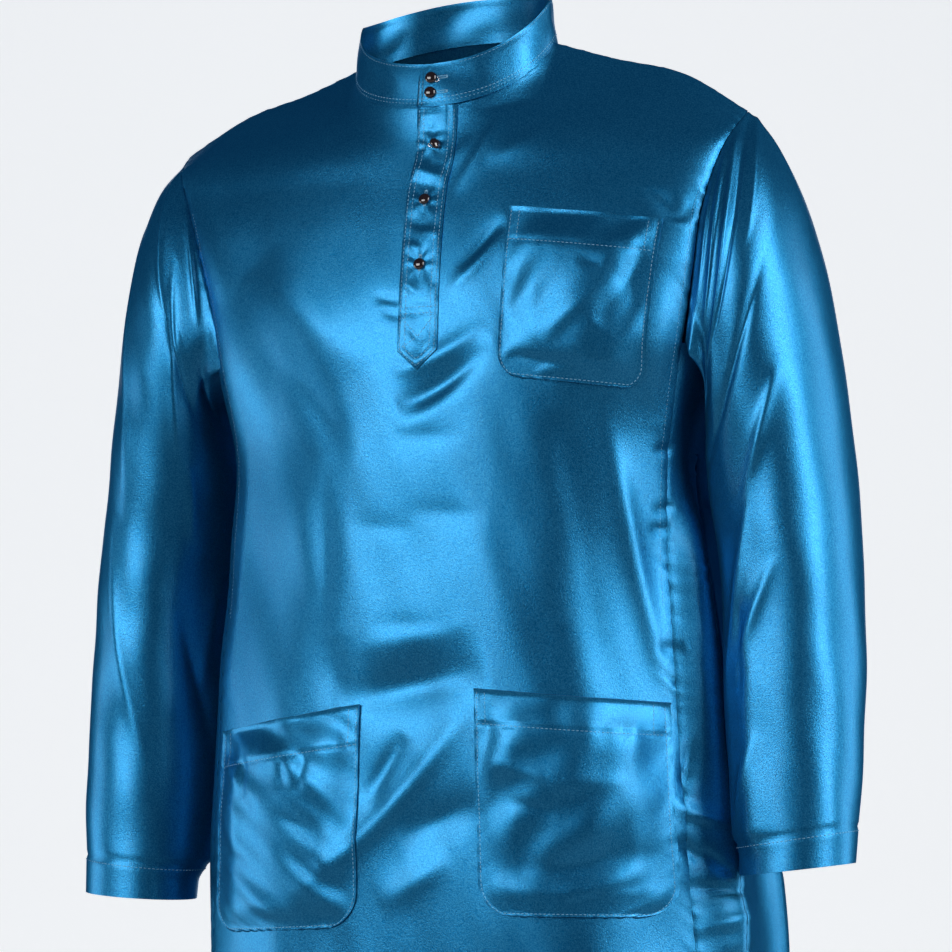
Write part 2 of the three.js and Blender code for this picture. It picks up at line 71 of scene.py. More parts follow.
# One row for each level of the body, down from the shoulder
BODY_LEVELS = [
    # front z, front y, seam x, seam z, front seam y, back seam y, side x, side y, side z, back z, back y,
    # flatness of the front, turn of the right side towards the back, right share
    (-80, -78, 227, -88, -27, 31, 236, 2, -88, -42, 80, 1.8, 0, 1.045),
    (-112, -88, 219, -114, -42, 50, 232, 3, -114, -88, 99, 2.2, 0, 1.03),
    (-150, -101, 212, -152, -57, 64, 226, 4, -152, -136, 111, 2.6, 0, 0.995),
    (-195, -113, 207, -200, -65, 72, 222, 4, -200, -186, 118, 3, 0, 0.95),
    (-242, -120, 200, -250, -67, 73, 208, 3, -264, -240, 122, 3, 0, 0.93),
    (-305, -124, 182, -325, -55, 62, 192, -12, -333, -310, 124, 3, 14, 0.97),
    (-385, -130, 178, -400, -56, 62, 200, -30, -400, -390, 125, 3, 26, 1.005),
    (-480, -136, 183, -490, -65, 66, 209, -38, -490, -485, 127, 3.2, 32, 1.003),
    (-585, -144, 190, -590, -73, 70, 217, -42, -590, -588, 130, 3.4, 36, 1.001),
    (-688, -151, 197, -690, -78, 74, 225, -46, -690, -690, 133, 3.6, 40, 0.993),
    (HEM_Z, -155, 204, HEM_Z, -83, 78, 232, -48, HEM_Z, HEM_Z, 136, 3.6, 42, 0.986),
]
LEVEL_GAPS = [84, 30, 40, 48, 50, 70, 78, 92, 103, 102, 102]  # about how far apart the levels are
PANEL_SHARES = np.array([0, 0.36, 0.68, 1])
BACK_FLATNESS = 3
TURN_WIDTH = 0.4  # how much narrower the right side is for each millimetre of turn
UNDERARM_ROW = 5
GUSSET_FOOT_ROW = 6
HEM_ROW = len(BODY_LEVELS)
# Columns of one half of the body, counted from centre front. At two of them the neck curve meets the
# shoulder seam.
FRONT_NECK, FRONT_SEAM, SIDE_SEAM, BACK_SEAM, BACK_NECK, CENTRE_BACK = 1, 3, 4, 5, 7, 8

# Sleeve rings from the armhole to the cuff
SLEEVE_RINGS = np.array([
    # outer x, outer z, under x, under z, centre y, half depth
    (236, -65, 208, -264, 3, 70),
    (256, -88, 212, -280, 3, 76),
    (273, -124, 209, -298, 4, 79),
    (289, -180, 207, -325, 5, 78),
    (302, -256, 211, -362, 4, 73),
    (312, -340, 221, -412, 0, 68),
    (319, -422, 226, -472, -9, 63),
    (322, -500, 226, -533, -22, 57),
    (322, -577, 228, -595, -38, 50),
    (319, CUFF_Z + 4, 230, CUFF_Z - 4, -55, 43),
], float)
ARMHOLE_BLEND_RINGS = 3
SLEEVE_RUN = 66  # cloth length from ring to ring
RIGHT_PULLED_DOWN = 14  # how much lower than its solid the right cuff hangs
FOLD_RADIUS = 165  # turns the angles of creases into lengths round the body
SLEEVE_RADIUS = 62  # and round a sleeve
ARMHOLE_RADIUS = 70  # and round an armhole


def smooth(low, high, x):
    """0 below low, 1 above high, and a soft step between."""
    t = np.clip((x - low) / (high - low), 0, 1)
    return t * t * (3 - 2 * t)


def bell(distance, width):
    """1 at no distance, falling softly to 0 past the width."""
    return np.exp(-((distance / width) ** 2))


def unit(v):
    return v / np.maximum(np.linalg.norm(v, axis=-1, keepdims=True), 1e-9)


def through(points, shares):
    """A smooth line through points (count, n, 3), read at shares of its points: (m, n, 3)."""
    points = np.asarray(points, float)
    run = np.concatenate([[2 * points[0] - points[1]], points, [2 * points[-1] - points[-2]]])
    place = np.clip(np.asarray(shares, float) * (len(points) - 1), 0, len(points) - 1 - 1e-9)
    k = place.astype(int)
    t = (place - k).reshape((-1,) + (1,) * (points.ndim - 1))
    p0, p1, p2, p3 = (run[k + i] for i in range(4))

    def gap(a, b):
        return np.maximum(np.sum((b - a) ** 2, -1, keepdims=True) ** 0.25, 1e-4)

    d0, d1, d2 = gap(p0, p1), gap(p1, p2), gap(p2, p3)
    leave = ((p1 - p0) / d0 - (p2 - p0) / (d0 + d1) + (p2 - p1) / d1) * d1
    reach = ((p2 - p1) / d1 - (p3 - p1) / (d1 + d2) + (p3 - p2) / d2) * d1
    curve = 3 * (p2 - p1) - 2 * leave - reach
    bend = 2 * (p1 - p2) + leave + reach
    return p1 + leave * t + curve * t**2 + bend * t**3


def neck_edge(angle, half):
    """The neck opening of one half, at an angle from its side to the front (below 0) or to the back."""
    half_width, side_z = NECK_SIDE[half]
    rise = abs(math.sin(angle))
    depth, z = (-NECK_FRONT_DEPTH, THROAT_Z) if angle < 0 else (NECK_BACK_DEPTH, NAPE_Z)
    return (
        half_width * math.cos(angle),
        NECK_CENTRE_Y + depth * rise,
        side_z * math.cos(angle) ** 2 + z * rise,
    )


def top_edge(column, half):
    """The top of the cloth at a column: the neck curve, or the shoulder seam outside it."""
    if column <= FRONT_NECK:
        return neck_edge(-math.pi / 2 * (FRONT_NECK - column), half)
    if column >= BACK_NECK:
        return neck_edge(math.pi / 2 * (column - BACK_NECK), half)
    past_neck = column - FRONT_NECK if column <= SIDE_SEAM else BACK_NECK - column
    outward = past_neck / (FRONT_SEAM - FRONT_NECK)
    return tuple(through(np.array(SHOULDER_SEAMS[half])[:, None], [min(1, outward)])[0, 0])


def level_columns(level, half):
    """The columns of one level of one half, from centre front to centre back, with one more past each."""
    front_z, front_y, seam_x, seam_z, front_seam_y, back_seam_y, *rest = level
    side_x, side_y, side_z, back_z, back_y, flatness, turn, share = rest
    if half > 0:
        turn, share = 0, 1

    def panel(centre_z, centre_y, seam_y, flatness):
        s = PANEL_SHARES
        y = centre_y + (seam_y - centre_y) * s**flatness
        return np.stack([seam_x * share * s, y, centre_z + (seam_z - centre_z) * s * s], 1)

    front = panel(front_z, front_y, front_seam_y, flatness)
    back = panel(back_z, back_y, back_seam_y, BACK_FLATNESS)[::-1]
    side = ((side_x - TURN_WIDTH * turn) * share, side_y + turn, side_z)
    columns = np.concatenate([front, [side], back])
    mirror = np.array([-1, 1, 1])
    return np.concatenate([[columns[1] * mirror], columns, [columns[-2] * mirror]])


def body_grid(columns, rows, half):
    """Plain cloth of one half of the body, with no folds: (rows, columns, 3)."""
    lines = np.stack([level_columns(level, half) for level in BODY_LEVELS], 1)
    levels = through(lines, (np.asarray(columns) + 1) / (CENTRE_BACK + 2))
    top = np.array([top_edge(c, half) for c in columns])
    down = np.concatenate([top[None], levels.transpose(1, 0, 2)])
    grid = through(down, np.asarray(rows) / HEM_ROW)
    grid[..., 0] *= half
    return grid


def steps(a, b, count):
    return np.linspace(a, b, count + 1)


def body_rows(first, last, pitch):
    """Rows from one level to another, about so many millimetres apart."""
    runs = [steps(k, k + 1, max(2, round(LEVEL_GAPS[k] / pitch))) for k in range(first, last)]
    return np.concatenate([runs[0]] + [run[1:] for run in runs[1:]])


# Creases of the body. Angles are in degrees round it from centre front, to the wearer's left. A crease runs
# from one place to the other, bows sideways in its middle, and is this wide and this high, or deep if its
# height is below 0. "lean" makes one flank wider and the other one steeper.
FRONT_CREASES = [
    # from angle, from z, to angle, to z, bow, width, height, lean
    # Chest, beside the placket and towards the right armhole
    (14, -124, 42, -58, 0, 9, 2.6, 0),
    (8, -106, 23, -80, 0, 6, 1.6, 0),
    (16, -188, 34, -147, 0, 6.5, -3.2, 0),
    (12, -205, 34, -158, 0, 8, 2.8, 0),
    (26, -56, 62, -48, 0, 6, -1.8, 0),
    (30, -98, 58, -72, 3, 9, 1.6, 0),
    (-60, -176, -20, -262, 0, 26, 2.6, 0),
    (-56, -236, -24, -330, 0, 24, -2.2, 0),
    (-18, -204, -7, -210, 0, 3.6, -1.5, 0),
    (-15, -216, -6, -222, 0, 3.4, -1.2, 0),
    # The swag under the placket's point
    (-10, -265, 25, -230, 6, 11, 3.2, 0),
    (-8, -292, 27, -245, 8, 13, -5.6, 0),
    (-8, -312, 32, -223, 11, 18, 3.2, 0),
    # Beside the left armhole
    (69, -128, 71, -157, 0, 6.5, -2.6, 0),
    (71, -157, 76, -132, 0, 6.5, -2.6, 0),
    (69, -187, 71, -311, 0, 15, -4, 0),
    # Belly
    (-11, -315, 17, -317, 0, 11, -1, 0),
    (-25, -382, -1, -388, 0, 12, -0.9, 0),
    (-4, -373, 24, -380, 0, 12, -1, 0),
    (-17, -461, 12, -462, 0, 10, -0.9, 0),
    (-23, -480, 21, -462, 0, 17, 1.6, 0),
    (-27, -518, 22, -498, 0, 26, -7, 0),
    (-29, -467, -27, -530, 0, 15, -2, 0),
    (-34, -331, -32, -482, 0, 17, -2.4, 0),
    (-66, -300, -66, -515, 0, 9, 1.8, 0),
    (46, -300, 54, -520, 0, 22, -2.2, 0),
    (57, -296, 68, -534, -4, 10, 3.2, 0),
    # Skirt, over and between the lower pockets
    (-40, -675, 17, -526, 6, 13, 4, 0),
    (-6, -625, 20, -598, 0, 19, -4, 0),
    (-12, -676, 10, -641, 0, 15, 3, 0),
    (-17, -598, -5, -545, 0, 11, -3.4, 0),
    (24, -652, 66, -638, 0, 23, -3, 0),
    (37, -679, 58, -663, 0, 9, -3, 0),
    (-60, -564, -63, -639, 0, 17, 3, 0),
    # Small folds of the left back gore, behind the side seam
    (86, -370, 108, -386, 0, 6, 3.4, 0),
    (88, -396, 110, -410, 0, 6, -3.2, 0),
    (88, -418, 110, -434, 0, 6, 3.4, 0),
    (86, -444, 108, -454, 0, 6, -3, 0),
    (88, -464, 108, -478, 0, 7, 3.2, 0),
    (88, -508, 112, -528, 0, 7, 3.6, 0),
    (86, -530, 110, -548, 0, 6, -3, 0),
    (90, -550, 112, -574, 0, 6, 3.2, 0),
    (88, -590, 112, -616, 0, 8, 3.4, 0),
    (84, -640, 112, -664, 0, 8, -3.4, 0),
    # Pulls across the seam of the left gores
    (69, -332, 75, -330, 0, 3.6, -2, 0),
    (69, -378, 75, -376, 0, 3.6, -1.6, 0),
    (68, -392, 74, -393, 0, 3.6, -1.8, 0),
    (67, -485, 73, -485, 0, 5, -2, 0),
    (72, -554, 68, -603, 0, 5, -2, 0),
    (66, -630, 72, -650, 0, 5, -2.4, 0),
    (71, -639, 79, -666, 0, 5, -2.4, 0),
    (67, -667, 85, -676, 0, 5, -2.2, 0),
    (66, -606, 78, -622, 0, 5, 2.4, 0),
    (68, -700, 84, -690, 0, 6, 2.6, 0),
    (70, -724, 86, -716, 0, 6, -2.4, 0),
]
# Long folds down to the hem: the large one of the left back gore, those of the back, one down the right
# side and the ridge along the left side seam
BODY_FLUTES = [
    # from angle, from z, to angle, to z, bow, width, height, lean
    (99, -235, 107, -985, 4, 21, 24, 0),
    (130, -330, 128, -960, -6, 26, -9, 0),
    (150, -240, 147, -960, 6, 28, 9, 0),
    (176, -300, 170, -960, -4, 30, -8, 0),
    (202, -220, 206, -960, 6, 28, 9, 0),
    (224, -300, 221, -960, 4, 24, -8, 0),
    (259, -360, 261, -960, 0, 17, 4, 0),
    (-75, -200, -72, -830, 0, 34, 10.5, 0),
    (81, -335, 78, -960, 0, 10, 4.6, 0.4),
]
BACK_CREASES = [
    # from angle, from z, to angle, to z, bow, width, height, lean
    (112, -150, 148, -320, 10, 20, 4, 0.3),
    (248, -150, 212, -320, -10, 20, 4, 0.3),
    (118, -230, 152, -400, 10, 14, 3, 0.3),
    (242, -230, 206, -400, -10, 14, 3, 0.3),
    (160, -70, 200, -75, -14, 12, 2, 0),
]
# Creases of the sleeves, the left one first. A turn is in degrees round the sleeve from its outer line,
# forwards, and a run is the length down it.
SLEEVE_CREASES = {
    # from turn, from run, to turn, to run, bow, width, height, lean
    1: [
        # Fanning from the shoulder point, in front
        (26, -12, 96, 0, -6, 5, 2.6, 0),
        (18, -14, 108, 26, -8, 5, 2.8, 0),
        (10, -14, 120, 60, -10, 6, 3.4, 0),
        (2, -14, 142, 120, -12, 6.5, 4, 0),
        (-8, -14, 112, 124, -9, 6, -2.6, 0),
        (-16, -10, 66, 130, -4, 7, 2.8, 0),
        (55, 159, 155, 246, 0, 10, -3, 0),
        (112, 0, 155, 204, 0, 9, -4, 0),
        (120, 98, 131, 238, 0, 10, 3, 0),
        # The loose cloth under the arm, and inside the elbow
        (128, -60, 168, 190, 0, 30, 12, 0),
        (150, 10, 157, 620, 0, 34, 17, 0),
        (122, 300, 124, 650, 0, 24, 7, 0),
        # Elbow and forearm, in front
        (65, 246, 117, 310, 0, 9, 3.4, 0),
        (106, 299, 147, 469, 8, 8, 3.4, 0),
        (128, 378, 128, 465, 0, 6, -2.4, 0),
        (93, 367, 134, 446, 6, 9, 3, 0),
        (115, 488, 145, 560, 0, 9, 2.4, 0),
        # Behind
        (340, 20, 235, 160, 10, 9, 3.4, 0),
        (300, 240, 215, 330, 8, 11, 3.6, 0),
        (235, 330, 190, 420, 8, 10, 3, 0),
        (260, 420, 330, 520, 8, 11, -2.6, 0),
    ],
    -1: [
        (27, 0, 109, 40, 6, 6, 3, 0),
        (14, 6, 92, 110, -8, 7, 3, 0),
        (71, 45, 134, 170, 0, 8, -2.6, 0),
        (104, 83, 120, 246, 0, 8, 2.6, 0),
        (109, 0, 161, 144, 0, 12, -4, 0),
        (131, 235, 139, 310, 0, 8, 2.4, 0),
        (134, 363, 177, 496, 0, 9, -2.4, 0),
        (166, 318, 158, 443, 0, 9, 2.4, 0),
        (20, 120, 74, 330, 10, 12, 3.4, 0),
        (60, 330, 112, 500, -8, 12, 3, 0),
        # The loose cloth towards the body
        (206, 20, 202, 660, 0, 58, 24, 0),
        # Behind
        (335, 20, 240, 170, 10, 9, 3.4, 0),
        (290, 230, 215, 340, 8, 11, 3.6, 0),
        (320, 330, 300, 540, 8, 12, -2.6, 0),
    ],
}


def crease_height(crease, across, down):
    """Height of one crease at places across and down the cloth, both in millimetres."""
    a0, b0, a1, b1, bow, width, height, lean = crease
    run_a, run_b = a1 - a0, b1 - b0
    length = math.hypot(run_a, run_b)
    share = ((across - a0) * run_a + (down - b0) * run_b) / length**2
    off = ((across - a0) * run_b - (down - b0) * run_a) / length - bow * 4 * share * (1 - share)
    flank = width * (1 + lean * np.sign(off))
    tent = np.exp(1 - np.sqrt(1 + 4 * (off / flank) ** 2))
    return height * tent * np.sin(math.pi * np.clip(share, 0, 1)) ** 0.9


def body_folds(points, creases):
    """How far the creases lift the body's cloth at each point."""
    angle = np.arctan2(points[..., 0], -points[..., 1])
    out = np.zeros(angle.shape)
    for a0, z0, a1, z1, *rest in creases:
        middle = math.radians((a0 + a1) / 2)
        turned = middle + np.arctan2(np.sin(angle - middle), np.cos(angle - middle))
        arc = (math.radians(a0) * FOLD_RADIUS, z0, math.radians(a1) * FOLD_RADIUS, z1, *rest)
        out += crease_height(arc, turned * FOLD_RADIUS, points[..., 2])
    return out


def ripple(points, size, height, seed):
    """Soft unevenness of hanging cloth: a few crossed waves about so long and high."""
    own = np.random.default_rng(seed)
    out = np.zeros(points.shape[:-1])
    for _ in range(7):
        way = unit(own.normal(size=3) * (1, 1, 0.55))
        length = size * own.uniform(0.7, 1.6)
        out += np.sin(points @ way * 2 * math.pi / length + own.uniform(0, 7)) / 7
    return out * height * 1.8


def seam_dip(distance, along, seed, depth, pucker):
    """A seam pulls the cloth in beside it, and puckers it unevenly along its run."""
    own = np.random.default_rng(seed)
    wave = np.zeros(np.shape(along))
    for _ in range(5):
        wave += np.sin(along * 2 * math.pi / own.uniform(7, 19) + own.uniform(0, 7)) / 2.2
    strength = 0.4 + 0.6 * np.sin(along / own.uniform(24, 34) + own.uniform(0, 7)) ** 2
    return -depth * bell(distance, 1.5) + pucker * wave * strength * np.exp(-distance / 6.5)


def run_lengths(grid, axis):
    """Length of cloth along a grid from its first line, along one axis."""
    gaps = np.linalg.norm(np.diff(grid, axis=axis), axis=-1)
    pad = [(0, 0), (0, 0)]
    pad[axis] = (1, 0)
    return np.cumsum(np.pad(gaps, pad), axis=axis)


def grid_normals(grid, facing):
    """Normals of a grid. Facing is 1 if its columns run to the right as seen from outside, or else -1."""
    across = np.gradient(grid, axis=1)
    up = -np.gradient(grid, axis=0)
    return unit(np.cross(across, up)) * facing


# Meshes


def new_object(name, bm, material, sharp_edges=True):
    mesh = bpy.data.meshes.new(name)
    for face in bm.faces:
        face.smooth = True
    if sharp_edges:
        for edge in bm.edges:
            edge.smooth = not edge.is_boundary
    bm.to_mesh(mesh)
    bm.free()
    mesh.materials.append(material)
    piece = bpy.data.objects.new(name, mesh)
    bpy.context.scene.collection.objects.link(piece)
    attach(piece, BODY)
    return piece


def cloth(name, grid, wall=SATIN_WALL, facing=1, closed=False):
    """A sheet of satin: a flat grid whose points are moved to their places, with its wall behind them."""
    rows, columns = grid.shape[:2]
    bm = bmesh.new()
    bmesh.ops.create_grid(bm, x_segments=columns - 1, y_segments=rows - 1, size=1)
    for vertex, place in zip(bm.verts, grid.reshape(-1, 3) * MM):
        vertex.co = place
    if closed:
        bmesh.ops.remove_doubles(bm, verts=bm.verts, dist=MERGE)
    if facing > 0:
        bmesh.ops.reverse_faces(bm, faces=bm.faces)
    piece = new_object(name, bm, SATIN)
    solidify = piece.modifiers.new("wall", "SOLIDIFY")
    solidify.thickness = wall * MM
    solidify.offset = -1
    return piece


# Materials


class Value:
    """A shader value that can be written in sums."""

    def __init__(self, maker, socket):
        self.maker = maker
        self.socket = socket

    def _maths(self, operation, *values):
        sockets = [v.socket if isinstance(v, Value) else v for v in values]
        return self.maker.node("ShaderNodeMath", {"operation": operation}, dict(enumerate(sockets)))

    def __add__(self, other):
        return self._maths("ADD", self, other)

    def __radd__(self, other):
        return self._maths("ADD", other, self)

    def __mul__(self, other):
        return self._maths("MULTIPLY", self, other)

    def __rmul__(self, other):
        return self._maths("MULTIPLY", other, self)


class Finish:
    """A material and its nodes. Constants of its shader are given by the names of their sockets."""

    def __init__(self, name, **constants):
        self.material = bpy.data.materials.new(name)
        self.material.use_nodes = True
        self.tree = self.material.node_tree
        self.shader = next(n for n in self.tree.nodes if n.type == "BSDF_PRINCIPLED")
        for socket, value in constants.items():
            self.shader.inputs[socket.replace("_", " ")].default_value = value

    def node(self, kind, settings=None, inputs=None, output=0):
        made = self.tree.nodes.new(kind)
        for key, value in (settings or {}).items():
            setattr(made, key, value)
        for key, value in (inputs or {}).items():
            value = value.socket if isinstance(value, Value) else value
            if isinstance(value, bpy.types.NodeSocket):
                self.tree.links.new(value, made.inputs[key])
            else:
                made.inputs[key].default_value = value
        return Value(self, made.outputs[output])

    def noise(self, scale, detail, roughness):
        place = self.node("ShaderNodeTexCoord", output="Object")
        values = {"Vector": place, "Scale": scale, "Detail": detail, "Roughness": roughness}
        return self.node("ShaderNodeTexNoise", inputs=values, output="Fac")

    def feed(self, socket, value):
        self.tree.links.new(value.socket, self.shader.inputs[socket])

    def mix(self, mask, low, high):
        values = {"Factor": mask, "A": low, "B": high}
        return self.node("ShaderNodeMix", {"data_type": "RGBA"}, values, "Result")

    def bump(self, height, distance, strength):
        values = {"Height": height, "Distance": distance, "Strength": strength}
        return self.node("ShaderNodeBump", inputs=values)


def satin_finish():
    """Crepe-backed satin: a blue sheen with a fine grain of thread, and a thin pale gloss over it."""
    tint = {"Specular_IOR_Level": 0.3, "Specular_Tint": (0.35, 0.7, 1, 1)}
    satin = Finish("satin", Metallic=0.8, Coat_Weight=0.14, Coat_Roughness=0.25, **tint)
    grain = satin.noise(850, 2, 0.6)
    flecks = satin.noise(1900, 1, 0.5)
    cloudy = satin.noise(38, 3, 0.55)
    shade = grain * 0.6 + flecks * 0.35 + cloudy * 0.05
    spread = satin.node("ShaderNodeMapRange", inputs={"Value": shade, "From Min": 0.37, "From Max": 0.63})
    deep_blue = (0.0, 0.115, 0.275, 1)
    pale_blue = (0.026, 0.22, 0.415, 1)
    satin.feed("Base Color", satin.mix(spread, deep_blue, pale_blue))
    satin.feed("Roughness", 0.23 + grain * 0.12 + cloudy * 0.06)
    satin.feed("Normal", satin.bump(grain + flecks * 0.8, 0.00022, 0.65))
    return satin.material


def thread_finish():
    thread = Finish("thread", Roughness=0.55, Sheen_Weight=0.4, Metallic=0.0)
    twist = thread.noise(4000, 1, 0.5)
    thread.feed("Base Color", thread.mix(twist, (0.08, 0.30, 0.48, 1), (0.22, 0.50, 0.68, 1)))
    return thread.material


def stud_finish():
    stud = Finish("stud", Roughness=0.12, Metallic=0.15, Coat_Weight=0.8, Coat_Roughness=0.05)
    marble = stud.noise(420, 4, 0.6)
    stud.feed("Base Color", stud.mix(marble, (0.006, 0.003, 0.003, 1), (0.035, 0.016, 0.012, 1)))
    return stud.material


def metal_finish():
    metal = Finish("clip metal", Metallic=1.0, Roughness=0.22)
    wear = metal.noise(900, 2, 0.5)
    metal.feed("Base Color", metal.mix(wear, (0.55, 0.56, 0.58, 1), (0.86, 0.87, 0.88, 1)))
    return metal.material


SATIN = satin_finish()
THREAD = thread_finish()
STUD = stud_finish()
METAL = metal_finish()


# Camera, as the photograph was taken: from the wearer's left, a little below the chest, rolled slightly
CAMERA_AZIMUTH = math.radians(20)


def add_camera():
    camera = bpy.data.objects.new("camera", bpy.data.cameras.new("camera"))
    bpy.context.scene.collection.objects.link(camera)
    distance, height = 3.6, -0.52
    eye = Vector((math.sin(CAMERA_AZIMUTH) * distance, -math.cos(CAMERA_AZIMUTH) * distance, height))
    pan, pitch, roll = math.radians(-0.023), math.radians(2.835), math.radians(-1.505)
    turn = Matrix.Rotation(CAMERA_AZIMUTH + pan, 4, "Z") @ Matrix.Rotation(math.radians(90) + pitch, 4, "X")
    camera.matrix_world = Matrix.Translation(eye) @ turn @ Matrix.Rotation(roll, 4, "Z")
    camera.data.sensor_width = 36
    camera.data.lens = 170.45
    camera.data.clip_end = 100
    bpy.context.scene.camera = camera
    bpy.context.scene.view_settings.view_transform = "Standard"


add_camera()


CHEST = (0, 0, -0.35)
LIGHTS = [
    # name, azimuth, elevation, distance, width and height, watts, the place it looks at; lengths in metres
    ("key", -21, 16, 3.2, (2.2, 1.2), 58, (0, 0, -0.28)),
    ("side_right", -80, -8, 2.8, (1.7, 1.3), 22, CHEST),
    ("front_left", 73, 20, 2.8, (1.1, 2.1), 60, CHEST),
    ("side_left", 118, 0, 2.6, (1.2, 2.0), 26, CHEST),
]
WALL_GLOW = 0.62
SKY_COLOUR = (0.06, 0.48, 1, 1)
SKY_STRENGTH = 0.09


def add_light(name, azimuth, elevation, distance, size, watts, target):
    """A soft box that looks at the tunic from that side."""
    light = bpy.data.lights.new(name, "AREA")
    light.shape = "RECTANGLE"
    light.size, light.size_y = size
    light.energy = watts
    piece = bpy.data.objects.new(name, light)
    bpy.context.scene.collection.objects.link(piece)
    az, el = math.radians(azimuth), math.radians(elevation)
    way = Vector((math.sin(az) * math.cos(el), -math.cos(az) * math.cos(el), math.sin(el)))
    piece.location = Vector(target) + way * distance
    piece.rotation_euler = way.to_track_quat("Z", "Y").to_euler()


def backdrop_finish(name, glow, shade):
    plain = Finish(f"plain {name}", Roughness=0.9, Emission_Color=(1, 1, 1, 1), Emission_Strength=glow)
    paler = shade + 0.04
    mottle = plain.noise(3, 2, 0.5)
    plain.feed("Base Color", plain.mix(mottle, (shade, shade, shade, 1), (paler, paler, paler, 1)))
    return plain.material


def add_backdrop(name, half_size, away, finish, upright):
    """A plain plane: flat under the tunic, or upright behind it as the camera looks."""
    bm = bmesh.new()
    bmesh.ops.create_grid(bm, x_segments=1, y_segments=1, size=half_size)
    bmesh.ops.translate(bm, verts=bm.verts, vec=(0, 0, -away))
    if upright:
        bmesh.ops.rotate(bm, verts=bm.verts, matrix=Matrix.Rotation(math.radians(90), 3, "X"))
        bmesh.ops.rotate(bm, verts=bm.verts, matrix=Matrix.Rotation(CAMERA_AZIMUTH, 3, "Z"))
    mesh = bpy.data.meshes.new(name)
    bm.to_mesh(mesh)
    bm.free()
    mesh.materials.append(finish)
    piece = bpy.data.objects.new(name, mesh)
    bpy.context.scene.collection.objects.link(piece)


def add_studio():
    for light in LIGHTS:
        add_light(*light)
    world = bpy.data.worlds.new("studio")
    bpy.context.scene.world = world
    world.use_nodes = True
    sky = world.node_tree.nodes["Background"]
    sky.inputs["Color"].default_value = SKY_COLOUR
    sky.inputs["Strength"].default_value = SKY_STRENGTH
    add_backdrop("floor", 8, 1.4, backdrop_finish("floor", 0.0, 0.42), upright=False)
    add_backdrop("wall", 1.7, 5.0, backdrop_finish("wall", WALL_GLOW, 0.8), upright=True)


add_studio()


# Body panels


def both_sides(inner, outer):
    """Signed columns of a whole panel, in so many steps under the neck opening and from there to a seam."""
    half = np.concatenate([steps(0, FRONT_NECK, inner), steps(FRONT_NECK, FRONT_SEAM, outer)[1:]])
    return np.concatenate([-half[:0:-1], half])


def panel_surface(columns, halves, rows):
    """The plain surface of a panel, from the column and the half of each of its lines."""
    grid = np.empty((len(rows), len(columns), 3))
    for half in (1, -1):
        own = halves == half
        grid[:, own] = body_grid(columns[own], rows, half)
    return grid


def edge_distance(grid):
    """How far each point is along its row from the first and from the last column."""
    run = run_lengths(grid, 1)
    return run, run[:, -1:] - run


ALL_CREASES = FRONT_CREASES + BODY_FLUTES + BACK_CREASES
BODY_RIPPLES = [(46, 0.55, 7), (120, 1.5, 8)]  # length, height, seed
TAUT_Z = -60  # the cloth is drawn smooth above this
LOOSE_Z = -260  # and hangs loose below this
SEAM_DEPTH = 0.45
SEAM_PUCKER = 0.5


def dress(grid, facing, dips):
    """Lifts cloth into its creases. A dip is the distance from a seam, the run, a seed and a strength."""
    lift = body_folds(grid, ALL_CREASES)
    loose = smooth(TAUT_Z, LOOSE_Z, grid[..., 2])
    lift += sum(ripple(grid, *waves) * loose for waves in BODY_RIPPLES)
    for distance, along, seed, strength in dips:
        lift += seam_dip(distance, along, seed, SEAM_DEPTH * strength, SEAM_PUCKER * strength)
    return grid + grid_normals(grid, facing) * lift[..., None]


# How far apart the rows of points are
FRONT_PITCH = 3.1
BACK_PITCH = 4.6
SIDE_PITCH = 3.6
SIDE_STEPS = 22  # steps across one gore


def front_panel():
    columns = both_sides(24, 40)
    rows = body_rows(0, HEM_ROW, FRONT_PITCH)
    grid = panel_surface(np.abs(columns), np.where(columns >= 0, 1, -1), rows)
    right, left = edge_distance(grid)
    down = run_lengths(grid, 0)
    return dress(grid, 1, [(right, down, 11, 1), (left, down, 12, 1), (down, right, 13, 0.7)])


def back_panel():
    columns = both_sides(18, 30)
    rows = body_rows(0, HEM_ROW, BACK_PITCH)
    grid = panel_surface(CENTRE_BACK - np.abs(columns), np.where(columns <= 0, 1, -1), rows)
    first, last = edge_distance(grid)
    down = run_lengths(grid, 0)
    return dress(grid, 1, [(first, down, 14, 1), (last, down, 15, 1), (down, first, 16, 0.7)])


def side_piece(side, from_column, to_column, from_row, to_row, seed):
    """A gore or a gusset of one side."""
    columns = steps(from_column, to_column, SIDE_STEPS * (to_column - from_column))
    grid = body_grid(columns, body_rows(from_row, to_row, SIDE_PITCH), side)
    first, last = edge_distance(grid)
    down = run_lengths(grid, 0)
    return dress(grid, side, [(first, down, seed, 1), (last, down, seed + 1, 1.4)])


front_grid = front_panel()
front = cloth("front_panel", front_grid)
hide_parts("front")
back_grid = back_panel()
back = cloth("back_panel", back_grid)
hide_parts("back")

gore_grids = []
for side, word in SIDES:
    gusset_grid = side_piece(side, FRONT_SEAM, BACK_SEAM, UNDERARM_ROW, GUSSET_FOOT_ROW, 20)
    gusset = cloth(f"gusset_{word}_cloth", gusset_grid, facing=side)
    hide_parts(f"gusset_{word}")
    for name, start, end in (("front", FRONT_SEAM, SIDE_SEAM), ("back", SIDE_SEAM, BACK_SEAM)):
        gore_grid = side_piece(side, start, end, GUSSET_FOOT_ROW, HEM_ROW, 30 + start)
        gore_grids.append((gore_grid, side))
        gore = cloth(f"gore_{name}_{word}_cloth", gore_grid, facing=side)
        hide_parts(f"gore_{name}_{word}")


# Sleeves
SLEEVE_STEPS = 190  # steps round a sleeve
SLEEVE_PITCH = 3.4
CUFF_HEM = 24
CUFF_STITCH_ROWS = 7  # rows of points between the cuff's edge and its stitching


